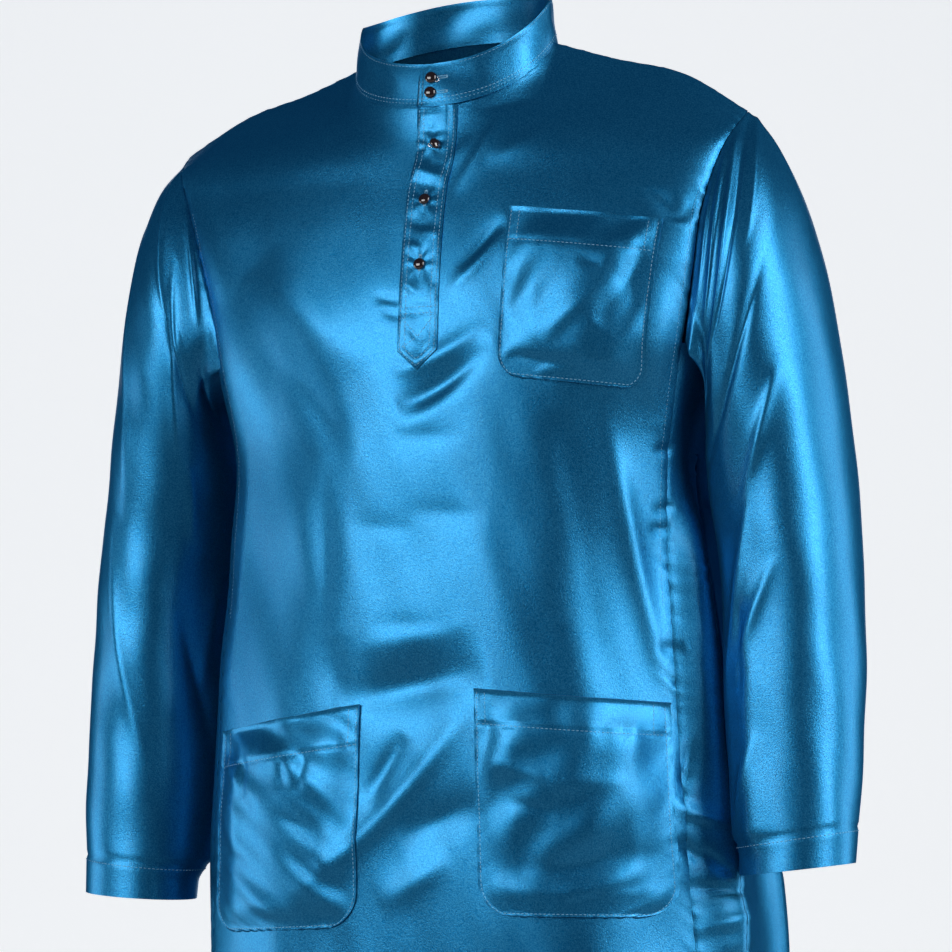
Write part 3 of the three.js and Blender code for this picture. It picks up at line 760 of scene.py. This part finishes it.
def sleeve_surface(side):
    """The plain sleeve as rings of points, with each point's turn round the arm and its run down it."""
    upper = body_rows(0, UNDERARM_ROW, 6)
    front_edge = body_grid([FRONT_SEAM], upper, side)[:, 0]
    under = body_grid(steps(FRONT_SEAM, BACK_SEAM, 24), [UNDERARM_ROW], side)[0]
    back_edge = body_grid([BACK_SEAM], upper, side)[::-1, 0]
    armhole = np.concatenate([front_edge, under[1:], back_edge[1:]])
    run = np.concatenate([[0], np.cumsum(np.linalg.norm(np.diff(armhole, axis=0), axis=1))])
    share = steps(0, 1, SLEEVE_STEPS)
    start = np.stack([np.interp(share * run[-1], run, armhole[:, k]) for k in range(3)], 1)
    turn = 2 * math.pi * share
    outer_x, outer_z, under_x, under_z, centre_y, half_depth = (SLEEVE_RINGS[:, k, None] for k in range(6))
    rings = np.stack([
        side * ((outer_x + under_x) / 2 + (outer_x - under_x) / 2 * np.cos(turn)),
        centre_y - half_depth * np.sin(turn),
        (outer_z + under_z) / 2 + (outer_z - under_z) / 2 * np.cos(turn),
    ], -1)
    if side < 0:
        rings[-1, :, 2] -= RIGHT_PULLED_DOWN
        rings[-2, :, 2] -= RIGHT_PULLED_DOWN / 2
    away = start - rings[0]
    fade = np.maximum(0, 1 - np.arange(len(rings)) / ARMHOLE_BLEND_RINGS) ** 2
    rings = rings + away * fade[:, None, None]
    shares = steps(0, 1, round(len(rings) * SLEEVE_RUN / SLEEVE_PITCH))
    grid = through(rings, shares)
    down = shares[:, None] * (len(rings) - 1) * SLEEVE_RUN
    return grid, np.degrees(turn)[None] + 0 * down, down + 0 * turn[None]


def sleeve_cloth(side):
    """The creased sleeve. Its creases fade out at the armhole and above the cuff's hem."""
    grid, turn, down = sleeve_surface(side)
    centre = grid[:, :-1].mean(axis=1, keepdims=True)
    lift = np.zeros(turn.shape)
    for a0, b0, a1, b1, *rest in SLEEVE_CREASES[side]:
        arc = (math.radians(a0) * SLEEVE_RADIUS, b0, math.radians(a1) * SLEEVE_RADIUS, b1, *rest)
        for lap in (-360, 0, 360):
            lift += crease_height(arc, np.radians(turn + lap) * SLEEVE_RADIUS, down)
    whole = down[-1, 0]
    loose = smooth(0, 26, down) * (1 - smooth(whole - 34, whole - 12, down))
    waves = ripple(grid, 52, 0.6, 9 + side) + ripple(grid, 130, 1.0, 19 + side)
    lift = lift * loose + waves * loose
    lift += seam_dip(down, np.radians(turn) * ARMHOLE_RADIUS, 40 + side, depth=0.8, pucker=0.5)
    lift -= 0.9 * bell(whole - CUFF_HEM - down, 1.3)
    lift += 0.35 * smooth(whole - CUFF_HEM, whole - CUFF_HEM + 3, down)
    lift[:, -1] = lift[:, 0]
    return grid + unit(grid - centre) * lift[..., None]


sleeve_grids = {}
for side, word in SIDES:
    sleeve_grids[side] = sleeve_cloth(side)
    sleeve = cloth(f"sleeve_{word}_cloth", sleeve_grids[side], facing=-side, closed=True)
    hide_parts(f"sleeve_{word}")


# What lies on the front: a place on it is found straight behind the pattern's point


def tree_of(grid):
    """A tree that finds places on a cloth's outer face."""
    rows, columns = grid.shape[:2]
    index = np.arange(rows * columns).reshape(rows, columns)
    quads = np.stack([index[:-1, :-1], index[:-1, 1:], index[1:, 1:], index[1:, :-1]], -1).reshape(-1, 4)
    return BVHTree.FromPolygons((grid.reshape(-1, 3)).tolist(), quads.tolist())


front_tree = tree_of(front_grid)
CLEAR_Y = -400  # well in front of the cloth
NEAR_Y = -160  # just in front of it, from where a place that a line misses is found
NORMAL_ROUNDS = 6  # how often the normals are evened
PATCH_REST = 0.4  # how far the inner face of what is laid on the front stays out of it, at least


def on_front(x, z, out=0.0, tree=front_tree):
    """The place at x and z on the front's cloth or on another tree's, moved out, and its normal."""
    hit, normal, _, _ = tree.ray_cast(Vector((x, CLEAR_Y, z)), Vector((0, 1, 0)))
    if hit is None:
        hit, normal, _, _ = tree.find_nearest(Vector((x, NEAR_Y, z)))
    if normal.y > 0:
        normal = -normal
    return hit + normal * out, normal


def laid_on_front(xs, zs, lift):
    """Places for a grid of pattern points on the front, each moved out by its lift along an evened normal."""
    grid = np.empty(xs.shape + (3,))
    for index in np.ndindex(xs.shape):
        grid[index] = on_front(xs[index], zs[index])[0]
    normals = grid_normals(grid, 1)
    for _ in range(NORMAL_ROUNDS):
        padded = np.pad(normals, ((1, 1), (1, 1), (0, 0)), "edge")
        normals = unit(padded[2:, 1:-1] + padded[:-2, 1:-1] + padded[1:-1, 2:] + padded[1:-1, :-2])
    return grid + normals * lift[..., None]


# Stitches: short beads of thread on the cloth
THREAD_OUT = 0.12  # how far the middle of a thread lies out of the cloth
HEM_THREAD_OUT = 0.15
CUFF_THREAD_OUT = 0.3
BUTTONHOLE_THREAD = 0.26
BUTTONHOLE_HALF_WIDTH = 0.9
GUIDE_PITCH = 2.0  # how far apart the places are that a line of stitches follows


def add_stitch(bm, start, end, thick):
    """One stitch as a small bead of thread, drawn out along its run."""
    run = end - start
    turn = run.to_track_quat("Z", "Y").to_matrix().to_4x4()
    size = Matrix.Diagonal((thick, thick, run.length / 2, 1))
    place = Matrix.Translation((start + end) / 2) @ turn @ size
    bmesh.ops.create_icosphere(bm, subdivisions=1, radius=1, matrix=place)


def stitch_line(bm, points, length=2.5, gap=0.9, thick=0.28):
    """Stitches along a line of places in millimetres that already lie on the cloth."""
    points = np.asarray([tuple(p) for p in points], float)
    run = np.concatenate([[0], np.cumsum(np.linalg.norm(np.diff(points, axis=0), axis=1))])
    pitch = length + gap
    for start in np.arange(gap / 2, run[-1] - length, pitch):
        ends = [[np.interp(s, run, points[:, k]) for k in range(3)] for s in (start, start + length)]
        add_stitch(bm, Vector(ends[0]) * MM, Vector(ends[1]) * MM, thick * MM)


def finish_stitches(name, bm):
    new_object(name, bm, THREAD, sharp_edges=False)


def polyline(points):
    """Points close together along straight runs between the given ones."""
    out = [points[0]]
    for a, b in zip(points[:-1], points[1:]):
        count = max(1, round(math.dist(a, b) / GUIDE_PITCH))
        out += [tuple(np.array(a) + (np.array(b) - np.array(a)) * k / count) for k in range(1, count + 1)]
    return out


def level_line(grid, facing, height):
    """Places along a sheet at one height, on its outer face."""
    normals = grid_normals(grid, facing)
    places = []
    for column in range(grid.shape[1]):
        order = np.argsort(grid[:, column, 2])
        z = grid[order, column, 2]
        place = [np.interp(height, z, grid[order, column, k]) for k in range(3)]
        way = [np.interp(height, z, normals[order, column, k]) for k in range(3)]
        places.append(np.array(place) + unit(np.array(way)) * HEM_THREAD_OUT)
    return places


def buttonhole(bm, place, length):
    """A worked slit: close stitches across both lips and a bar at each end, by place(along, off)."""
    half_width = BUTTONHOLE_HALF_WIDTH
    for along in np.arange(-length / 2, length / 2 + 0.01, 0.75):
        for lip in (-1, 1):
            start = place(along, lip * half_width * 0.35)
            end = place(along + 0.2, lip * half_width * 1.6)
            add_stitch(bm, start * MM, end * MM, BUTTONHOLE_THREAD * MM)
    for bar in (-length / 2 - 0.5, length / 2 + 0.5):
        for k in (-1, 0, 1):
            start = place(bar + 0.4 * k, -half_width * 1.5)
            end = place(bar + 0.4 * k, half_width * 1.5)
            add_stitch(bm, start * MM, end * MM, BUTTONHOLE_THREAD * MM)


HEM_TURNING = 20
ALLOWANCE_COLUMNS = (2, -3)  # the front's lines of points that lie beside its armholes and gores
ALLOWANCE_TOP = -120
ALLOWANCE_FOOT = -455


def sew_hems():
    """The hem and the cuffs are stitched down all round, and the front's allowances down its sides."""
    bm = bmesh.new()
    for grid, facing in [(front_grid, 1), (back_grid, 1)] + gore_grids:
        stitch_line(bm, level_line(grid, facing, HEM_Z + HEM_TURNING)[1:-1])
    for grid in sleeve_grids.values():
        ring = grid[-1 - CUFF_STITCH_ROWS]
        middle = ring.mean(axis=0)
        stitch_line(bm, [place + unit(place - middle) * CUFF_THREAD_OUT for place in ring])
    normals = grid_normals(front_grid, 1)
    for edge in ALLOWANCE_COLUMNS:
        seam = front_grid[:, edge] + normals[:, edge] * HEM_THREAD_OUT
        stitch_line(bm, seam[(seam[:, 2] < ALLOWANCE_TOP) & (seam[:, 2] > ALLOWANCE_FOOT)], 1.8, 1.4, 0.2)
    finish_stitches("hem_stitches", bm)


sew_hems()


# Pockets
POCKET_PITCH = 2.2
CORNER_STEPS = 12
STITCH_INSET = 2.2
BAND_TACK = 9  # how far from its sides a pocket's band is tacked down


class Pocket:
    """A patch pocket by its corners in x and z: top inner, top outer, bottom outer, bottom inner."""

    def __init__(self, node, corners, round_by, side, band, creases, seed):
        self.node = node
        self.corners = np.array(corners, float)
        self.round_by = round_by
        self.side = side
        self.band = band
        self.creases = creases
        self.seed = seed

    def pattern(self, u, v):
        """x and z at shares across, from its inner edge, and down."""
        width, depth = self.size()
        top_inner, top_outer, foot_outer, foot_inner = self.corners
        inner = top_inner + (foot_inner - top_inner) * v[..., None]
        outer = top_outer + (foot_outer - top_outer) * v[..., None]
        left = np.clip(self.round_by - (1 - v) * depth, 0, self.round_by)
        narrow = self.round_by - np.sqrt(np.maximum(self.round_by**2 - left**2, 0))
        u = (narrow + u * (width - 2 * narrow)) / width
        place = inner + (outer - inner) * u[..., None]
        return place[..., 0] * self.side, place[..., 1]

    def size(self):
        """Its width along the top and its depth along the inner edge."""
        top_inner, top_outer, _, foot_inner = self.corners
        return np.linalg.norm(top_outer - top_inner), np.linalg.norm(foot_inner - top_inner)

    def shares(self):
        """Shares across and down for a grid of points, closer together down the rounded corners."""
        width, depth = self.size()
        rounded = self.round_by / depth
        straight = steps(0, 1 - rounded, round((depth - self.round_by) / POCKET_PITCH))
        corner = 1 - rounded * (1 - np.sin(steps(0, math.pi / 2, CORNER_STEPS)[1:]))
        u, v = np.meshgrid(steps(0, 1, round(width / POCKET_PITCH)), np.concatenate([straight, corner]))
        return (u if self.side > 0 else u[:, ::-1]), v

    def lift(self, u, v):
        """How far the patch stands out: it hangs open under its band, with gathers, tucks and stitching."""
        width, depth = self.size()
        across, below = u * width, v * depth
        from_side = np.minimum(across, width - across)
        edge = np.minimum(from_side, depth - below)
        inside = smooth(0, 15, edge)
        under_band = self.band + 6
        leaned = 1.0 + 3.6 * smooth(0, under_band, below) - 2.5 * smooth(under_band, depth, below)
        pouch = 3.4 * bell(u - 0.6, 0.36) * smooth(0, 0.25, below / depth)
        hung = (leaned + pouch) * smooth(0, 30, from_side) * smooth(0, 22, depth - below)
        own = np.random.default_rng(self.seed)
        ripples = 0
        for _ in range(6):
            height = own.uniform(0.15, 0.4)
            wave = across / own.uniform(4, 11) + below / own.uniform(4, 14) + own.uniform(0, 7)
            ripples = ripples + height * np.sin(wave)
        rim = 1.1 * bell(below, 1.5) + 0.35 * bell(edge, 1.2)
        band = 0.5 * (1 - smooth(self.band - 0.6, self.band + 0.6, below))
        stitching = -0.5 * bell(below - self.band, 1.1) - 0.3 * bell(edge - STITCH_INSET, 1.0)
        near_band = np.exp(-np.abs(below - self.band) / 8)
        gathers = 0.28 * np.sin(across / 2.9 + 2 * np.sin(across / 17)) * near_band
        gathers = gathers * smooth(0, 10, across) * smooth(0, 10, width - across)
        slant = across + below
        tuck = 0.2 * np.sin(slant / 2.6 + 2 * np.sin(slant / 21)) * np.exp(-edge / 5)
        lift = PATCH_REST + hung
        lift += rim + ripples * inside + band + stitching + gathers + tuck
        for crease in self.creases:
            lift += crease_height(crease, across, -below) * inside
        return np.maximum(lift, PATCH_REST) + POCKET_WALL

    def make(self):
        width, depth = self.size()
        u, v = self.shares()
        x, z = self.pattern(u, v)
        grid = laid_on_front(x, z, self.lift(u, v))
        self.tree = tree_of(grid)
        piece = cloth(f"{self.node}_patch", grid, wall=POCKET_WALL)
        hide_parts(self.node)
        self.sew(width, depth)

    def places(self, shares):
        """Places on the patch for a list of distances across and down it."""
        width, depth = self.size()
        out = []
        for across, below in shares:
            x, z = self.pattern(np.array([across / width]), np.array([below / depth]))
            out.append(on_front(x[0], z[0], THREAD_OUT, self.tree)[0])
        return out

    def sew(self, width, depth):
        inset = STITCH_INSET
        bend = self.round_by - inset
        left_side = [(inset, 1.5), (inset, depth - bend - inset)]
        foot = [(inset, depth - inset), (width - inset, depth - inset)]
        right_side = [(width - inset, depth - bend - inset), (width - inset, 1.5)]
        bm = bmesh.new()
        stitch_line(bm, self.places(polyline(left_side + foot + right_side)))
        stitch_line(bm, self.places(polyline([(inset, self.band), (width - inset, self.band)])))
        for across in (BAND_TACK, width - BAND_TACK):
            stitch_line(bm, self.places(polyline([(across, 1.5), (across, self.band)])))
        finish_stitches(f"{self.node}_stitches", bm)


# Creases of the pockets, by how far across from the inner edge, and by height under the top edge
CHEST_CREASES = [
    # from across, from height, to across, to height, bow, width, height, lean
    (112, -28, 78, -86, 0, 13, -4.5, 0),
    (34, -108, 92, -50, -4, 11, 2.6, 0),
    (60, -38, 80, -41, 0, 5, -1.3, 0),
    (0, -124, 72, -114, 0, 9, -3, 0),
]
LEFT_CREASES = [
    (4, -56, 64, -64, 0, 12, 2.2, 0),
    (54, -72, 106, -64, 0, 12, 2.2, 0),
    (10, -140, 134, -118, 6, 20, -3.4, 0),
    (22, -84, 60, -92, 0, 8, -1.4, 0),
]
RIGHT_CREASES = [
    (104, -28, 100, -62, 0, 6, -2, 0),
    (64, -28, 62, -58, 0, 5, -1.8, 0),
    (44, -28, 48, -64, 0, 5, -1.8, 0),
    (118, -40, 108, -110, 0, 16, 2.6, 0),
    (20, -96, 84, -74, 0, 16, -3, 0),
]

pockets = [
    Pocket("pocket_chest", [(70, -139), (187, -154), (171, -285), (65, -271)], 18, 1, 25, CHEST_CREASES, 51),
    Pocket("pocket_left", [(46, -512), (181, -527), (190, -690), (50, -684)], 26, 1, 26, LEFT_CREASES, 52),
    Pocket("pocket_right", [(49, -522), (185, -541), (193, -698), (51, -692)], 26, -1, 30, RIGHT_CREASES, 53),
]
for pocket in pockets:
    pocket.make()


# Placket: a strip with a pointed foot, its free edge on the wearer's right
PLACKET_HALF = 16.5
PLACKET_TOP = -53.0
PLACKET_FOOT = -249
PLACKET_POINT = 15
PLACKET_STUDS = (-85, -129, -181)
PLACKET_TACKS = (-214.5, -219.5)  # two lines of stitching across it
PLACKET_ROWS = (2.2, 6.2)  # insets of the two rows of stitching round it
# Stitching of its foot: runs between two places, each x and z
PLACKET_CROSSINGS = [((-13, -222), (0, -238)), ((0, -238), (13, -222)), ((-13, -246), (0, -238))]
PLACKET_CREASES = [
    # from x, from z, to x, to z, bow, width, height, lean
    (-16, -62, 14, -60, 0, 4, 0.8, 0),
    (-16, -72, 16, -74, 0, 4, -0.9, 0),
    (-22, -98, 22, -112, 2, 6, 1.5, 0),
    (-22, -110, 20, -122, 2, 5, -1.5, 0),
    (-16, -142, 10, -156, 0, 4, -1.4, 0),
    (-4, -150, 18, -160, 0, 4, 1.2, 0),
    (-16, -164, 4, -170, 0, 4, 1.3, 0),
    (4, -186, 18, -200, 0, 4, -1.3, 0),
    (-17, -192, 2, -206, 0, 4.5, 1.2, 0),
    (-12, -228, 6, -244, 0, 4, -1.0, 0),
]


def placket_shift(z):
    """The strip has slipped towards the wearer's left above a small fold under its first stud."""
    return 4.2 * smooth(-122, -92, z)


def make_placket():
    u, v = np.meshgrid(steps(-1, 1, 16), steps(0, 1, 96))
    foot = PLACKET_FOOT - PLACKET_POINT * (1 - np.abs(u))
    z = PLACKET_TOP + (foot - PLACKET_TOP) * v
    x = u * PLACKET_HALF + placket_shift(z)
    edge = np.minimum((1 - np.abs(u)) * PLACKET_HALF, (z - foot) * 0.8)
    lift = PATCH_REST + 1.0 * smooth(0, 2.5, edge)
    lift -= 0.4 * sum(bell(edge - inset, 0.8) for inset in PLACKET_ROWS)
    lift += 0.5 * np.sin(z / 6.5 + 2 * np.sin(z / 21)) * np.sin(u * 2.2 + z / 19) * smooth(0, 6, edge)
    for stud_z in PLACKET_STUDS:
        off = np.hypot(x - 0.5, (z - stud_z) * 0.8)
        around = np.arctan2(z - stud_z, x)
        lift += (0.9 * np.cos(around * 6 + 1) - 0.6) * bell(off - 7, 4.5) * 0.6
    for crease in PLACKET_CREASES:
        lift += crease_height(crease, x, z) * smooth(0, 4, edge)
    lift -= 0.7 * sum(bell(z - tack, 1.2) for tack in PLACKET_TACKS)
    grid = laid_on_front(x, z, np.maximum(lift, PATCH_REST) + SATIN_WALL)
    strip = cloth("placket_strip", grid)
    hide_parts("placket")
    return tree_of(grid)


placket_tree = make_placket()


def on_placket(x, z):
    return on_front(x + float(placket_shift(np.array(z))), z, THREAD_OUT, placket_tree)[0]


def sew_placket():
    bm = bmesh.new()
    top = PLACKET_TOP - 2
    for inset in PLACKET_ROWS:
        side_x = PLACKET_HALF - inset
        foot = PLACKET_FOOT + inset * 0.25
        tip = PLACKET_FOOT - PLACKET_POINT + inset * 1.35
        outline = [(-side_x, top), (-side_x, foot), (0, tip), (side_x, foot), (side_x, top)]
        stitch_line(bm, [on_placket(x, z) for x, z in polyline(outline)])
    across = [((-14, z), (14, z)) for z in PLACKET_TACKS]
    for run in across + PLACKET_CROSSINGS:
        stitch_line(bm, [on_placket(x, z) for x, z in polyline(run)])
    for z in PLACKET_STUDS[1:]:
        buttonhole(bm, lambda along, off, z=z: on_placket(off, z + 1.5 + along), 11)
    finish_stitches("placket_stitches", bm)


sew_placket()


# Collar
COLLAR_HEIGHT = 35
COLLAR_LEAN = 8  # how far its top leans in
COLLAR_SEAT = -1.2  # how far its foot sits from the neck's edge
COLLAR_RADIUS = NECK_SIDE[1][0]
LAP_HALF = 12  # the ends lap by so much to either side of centre front
LAP_LIFT = 3.0  # how far the lapping end stands out
LAP_RAMP = math.radians(55)  # and over how much of its run it rises
LAP_ANGLE = math.asin(LAP_HALF / COLLAR_RADIUS)
LAP_END = -LAP_ANGLE - 2 * math.pi
LAP_CORNER = 15  # how far the lapping end's top corner is rounded
LAP_ROWS = (2.0, 4.6)  # insets of the two rows of stitching down the lapping end
COLLAR_STEPS = 181  # steps round it up to the rounded corner
LAP_STEPS = 25  # and then across that
COLLAR_ROWS = 17
COLLAR_FOOT_ROWS = (3.5, 6.5)  # heights of the two rows of stitching along its foot
COLLAR_TOP_ROW = 33
COLLAR_STUDS = (23, 11)
FACE_RADIUS = 78  # of the collar's face, half way up


def collar_place(angle, height, out):
    """A place on the collar band: its angle from centre front towards the wearer's left, and its height."""
    side = -1 if math.sin(angle) < 0 else 1
    foot = np.array(neck_edge(math.asin(-math.cos(angle)), side))
    share = height / COLLAR_HEIGHT
    inward = COLLAR_LEAN * share * (0.45 + 0.55 * max(0, math.cos(angle)))
    way = unit(np.array([foot[0], foot[1] - NECK_CENTRE_Y, 0]))
    place = foot + way * (out - inward) + np.array([0, 0, COLLAR_SEAT + height])
    place[0] *= side
    return Vector(place)


def lap_lift(angle):
    """How far the band stands out at an angle of its run, to lap over its own start."""
    past = 2 * math.pi - LAP_ANGLE
    return LAP_LIFT * float(smooth(past - LAP_RAMP, past, np.array(-angle)))


def collar_wave(angle, height):
    """Soft buckles of the band, and dips along its stitching."""
    share = height / COLLAR_HEIGHT
    wave = 0.7 * math.sin(angle * 5 + 1.3 * share * 3) + 0.35 * math.sin(angle * 13 + 2 * share)
    wave *= math.sin(math.pi * min(1, max(0, share)))
    return wave - 0.35 * bell(height - COLLAR_FOOT_ROWS[0], 0.8) - 0.3 * bell(height - COLLAR_TOP_ROW, 0.8)


def band_place(angle, height, out):
    """A place on the lapping, buckled band, so far out of its face."""
    return collar_place(angle, height, lap_lift(angle) + collar_wave(angle, height) + out)


def make_collar():
    corner = LAP_END + LAP_CORNER / COLLAR_RADIUS
    angles = np.concatenate([steps(LAP_ANGLE, corner, COLLAR_STEPS)[:-1], steps(corner, LAP_END, LAP_STEPS)])
    heights = np.linspace(1, 0, COLLAR_ROWS)
    grid = np.empty((len(heights), len(angles), 3))
    for c, angle in enumerate(angles):
        from_end = abs(angle - LAP_END) * COLLAR_RADIUS
        left = max(0.0, LAP_CORNER - from_end)
        tall = COLLAR_HEIGHT - (LAP_CORNER - math.sqrt(max(LAP_CORNER**2 - left**2, 0)))
        roll = 1.1 * bell(from_end, 1.1) + 0.35 * bell(from_end - 3.3, 1.3)
        for r, share in enumerate(heights):
            grid[r, c] = band_place(angle, tall * share, -roll)
    band = cloth("collar_band", grid, wall=COLLAR_WALL, facing=-1)
    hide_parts("collar")


make_collar()


def lap_place(angle, height, out):
    """A place on the outer face near centre front, where the lapping end lies on top."""
    return band_place(angle - 2 * math.pi if angle > -LAP_ANGLE else angle, height, out)


def on_lap(across, height):
    """A thread's place there, by how far across it is towards the wearer's left."""
    return lap_place(across / FACE_RADIUS, height, HEM_THREAD_OUT)


def sew_collar():
    bm = bmesh.new()
    whole = np.linspace(-LAP_ANGLE - 0.02, LAP_END + 0.03, 220)
    for height in COLLAR_FOOT_ROWS:
        stitch_line(bm, [band_place(angle, height, THREAD_OUT) for angle in whole])
    before_corner = whole[:-14]
    stitch_line(bm, [band_place(angle, COLLAR_TOP_ROW, THREAD_OUT) for angle in before_corner], thick=0.2)
    for inset in LAP_ROWS:
        angle = LAP_END + inset / COLLAR_RADIUS
        heights = np.linspace(1.5, COLLAR_HEIGHT - LAP_CORNER + 4, 16)
        stitch_line(bm, [band_place(angle, height, THREAD_OUT) for height in heights])
    for stud in COLLAR_STUDS:
        buttonhole(bm, lambda along, off, h=stud: on_lap(along + 4.5, h + off), 14)
    finish_stitches("collar_stitches", bm)


sew_collar()


# Studs: a polished dome on a metal shank, with the clip that holds it behind the cloth
STUD_RADIUS = 4.65
DOME_FOOT = 1.5
DOME_RISE = 2.4
# Radius and height of the head's flat back, up to its dome, and of the shank
HEAD_BACK = [(0, 0.85), (STUD_RADIUS * 0.80, 0.85), (STUD_RADIUS * 0.95, 1.0), (STUD_RADIUS, 1.25)]
SHANK = [(0, 0.0), (1.2, 0.0), (1.35, 0.25), (1.15, 0.5), (1.15, 0.7), (3.9, 0.72), (3.95, 0.84), (0, 0.86)]
CLIP_TURNS = {1: -20, 3: 200}  # degrees round the stud, from its right, at which its wire clip shows
CLIP_BOW = [(4.0, -1.9, 0.5), (6.0, -1.7, 0.9), (7.1, 0.0, 1.2), (6.0, 1.7, 0.9), (4.0, 1.9, 0.5)]
CLIP_WIRE = 0.42
CLIP_OVERLAP = 0.3
COLLAR_STUD_WAY = (0.12, -0.97, 0.18)
TURNED_STUD = 3
TURNED_BY = math.radians(48)
TURNED_SHIFT = Vector((0.5, -2.6, 0.5))


def spun(profile, sides):
    """A closed shape from a profile of radii and heights, turned about the Z axis."""
    bm = bmesh.new()
    verts = [bm.verts.new((radius * MM, 0, height * MM)) for radius, height in profile]
    edges = [bm.edges.new(pair) for pair in zip(verts[:-1], verts[1:])]
    bmesh.ops.spin(bm, geom=verts + edges, axis=(0, 0, 1), cent=(0, 0, 0), steps=sides, angle=2 * math.pi,
                   use_merge=True, use_duplicate=False)
    bmesh.ops.remove_doubles(bm, verts=bm.verts, dist=MERGE)
    bmesh.ops.recalc_face_normals(bm, faces=bm.faces)
    return bm


def make_stud(number, place, way):
    turn = Vector(way).to_track_quat("Z", "Y").to_matrix().to_4x4()
    home = Matrix.Translation(Vector(place) * MM) @ turn
    quarter = np.linspace(0, math.pi / 2, 9)
    dome = [(STUD_RADIUS * math.cos(t), DOME_FOOT + DOME_RISE * math.sin(t)) for t in quarter]
    dome[-1] = (0, dome[-1][1])
    bm = spun(HEAD_BACK + dome, 28)
    bmesh.ops.transform(bm, matrix=home, verts=bm.verts)
    head = new_object(f"stud_{number}_head", bm, STUD, sharp_edges=False)
    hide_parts(f"stud_{number}")
    bm = spun(SHANK, 20)
    bmesh.ops.transform(bm, matrix=home, verts=bm.verts)
    if number in CLIP_TURNS:
        add_clip(bm, home @ Matrix.Rotation(math.radians(CLIP_TURNS[number]), 4, "Z"))
    shank = new_object(f"stud_{number}_shank", bm, METAL, sharp_edges=False)


def add_clip(bm, home):
    """The wire clip beside a stud's head: a small bow of round wire."""
    spots = [Vector(spot) for spot in CLIP_BOW]
    for start, end in zip(spots[:-1], spots[1:]):
        way = (end - start).to_track_quat("Z", "Y").to_matrix().to_4x4()
        place = home @ (Matrix.Translation((start + end) / 2 * MM) @ way)
        length = (end - start).length + CLIP_OVERLAP
        bmesh.ops.create_cone(bm, cap_ends=True, segments=10, radius1=CLIP_WIRE * MM, radius2=CLIP_WIRE * MM,
                              depth=length * MM, matrix=place)


def place_studs():
    """Two studs on the collar, and three on the placket, the first of them turned and tilted in its hole."""
    for number, height in enumerate(COLLAR_STUDS, 1):
        make_stud(number, lap_place(-0.01, height, 0.3), COLLAR_STUD_WAY)
    for number, z in enumerate(PLACKET_STUDS, 3):
        place, normal = on_front(float(placket_shift(np.array(z))), z, 0.2, placket_tree)
        if number == TURNED_STUD:
            normal.rotate(Matrix.Rotation(TURNED_BY, 3, "Z"))
            place = place + TURNED_SHIFT
        make_stud(number, place, normal)


place_studs()
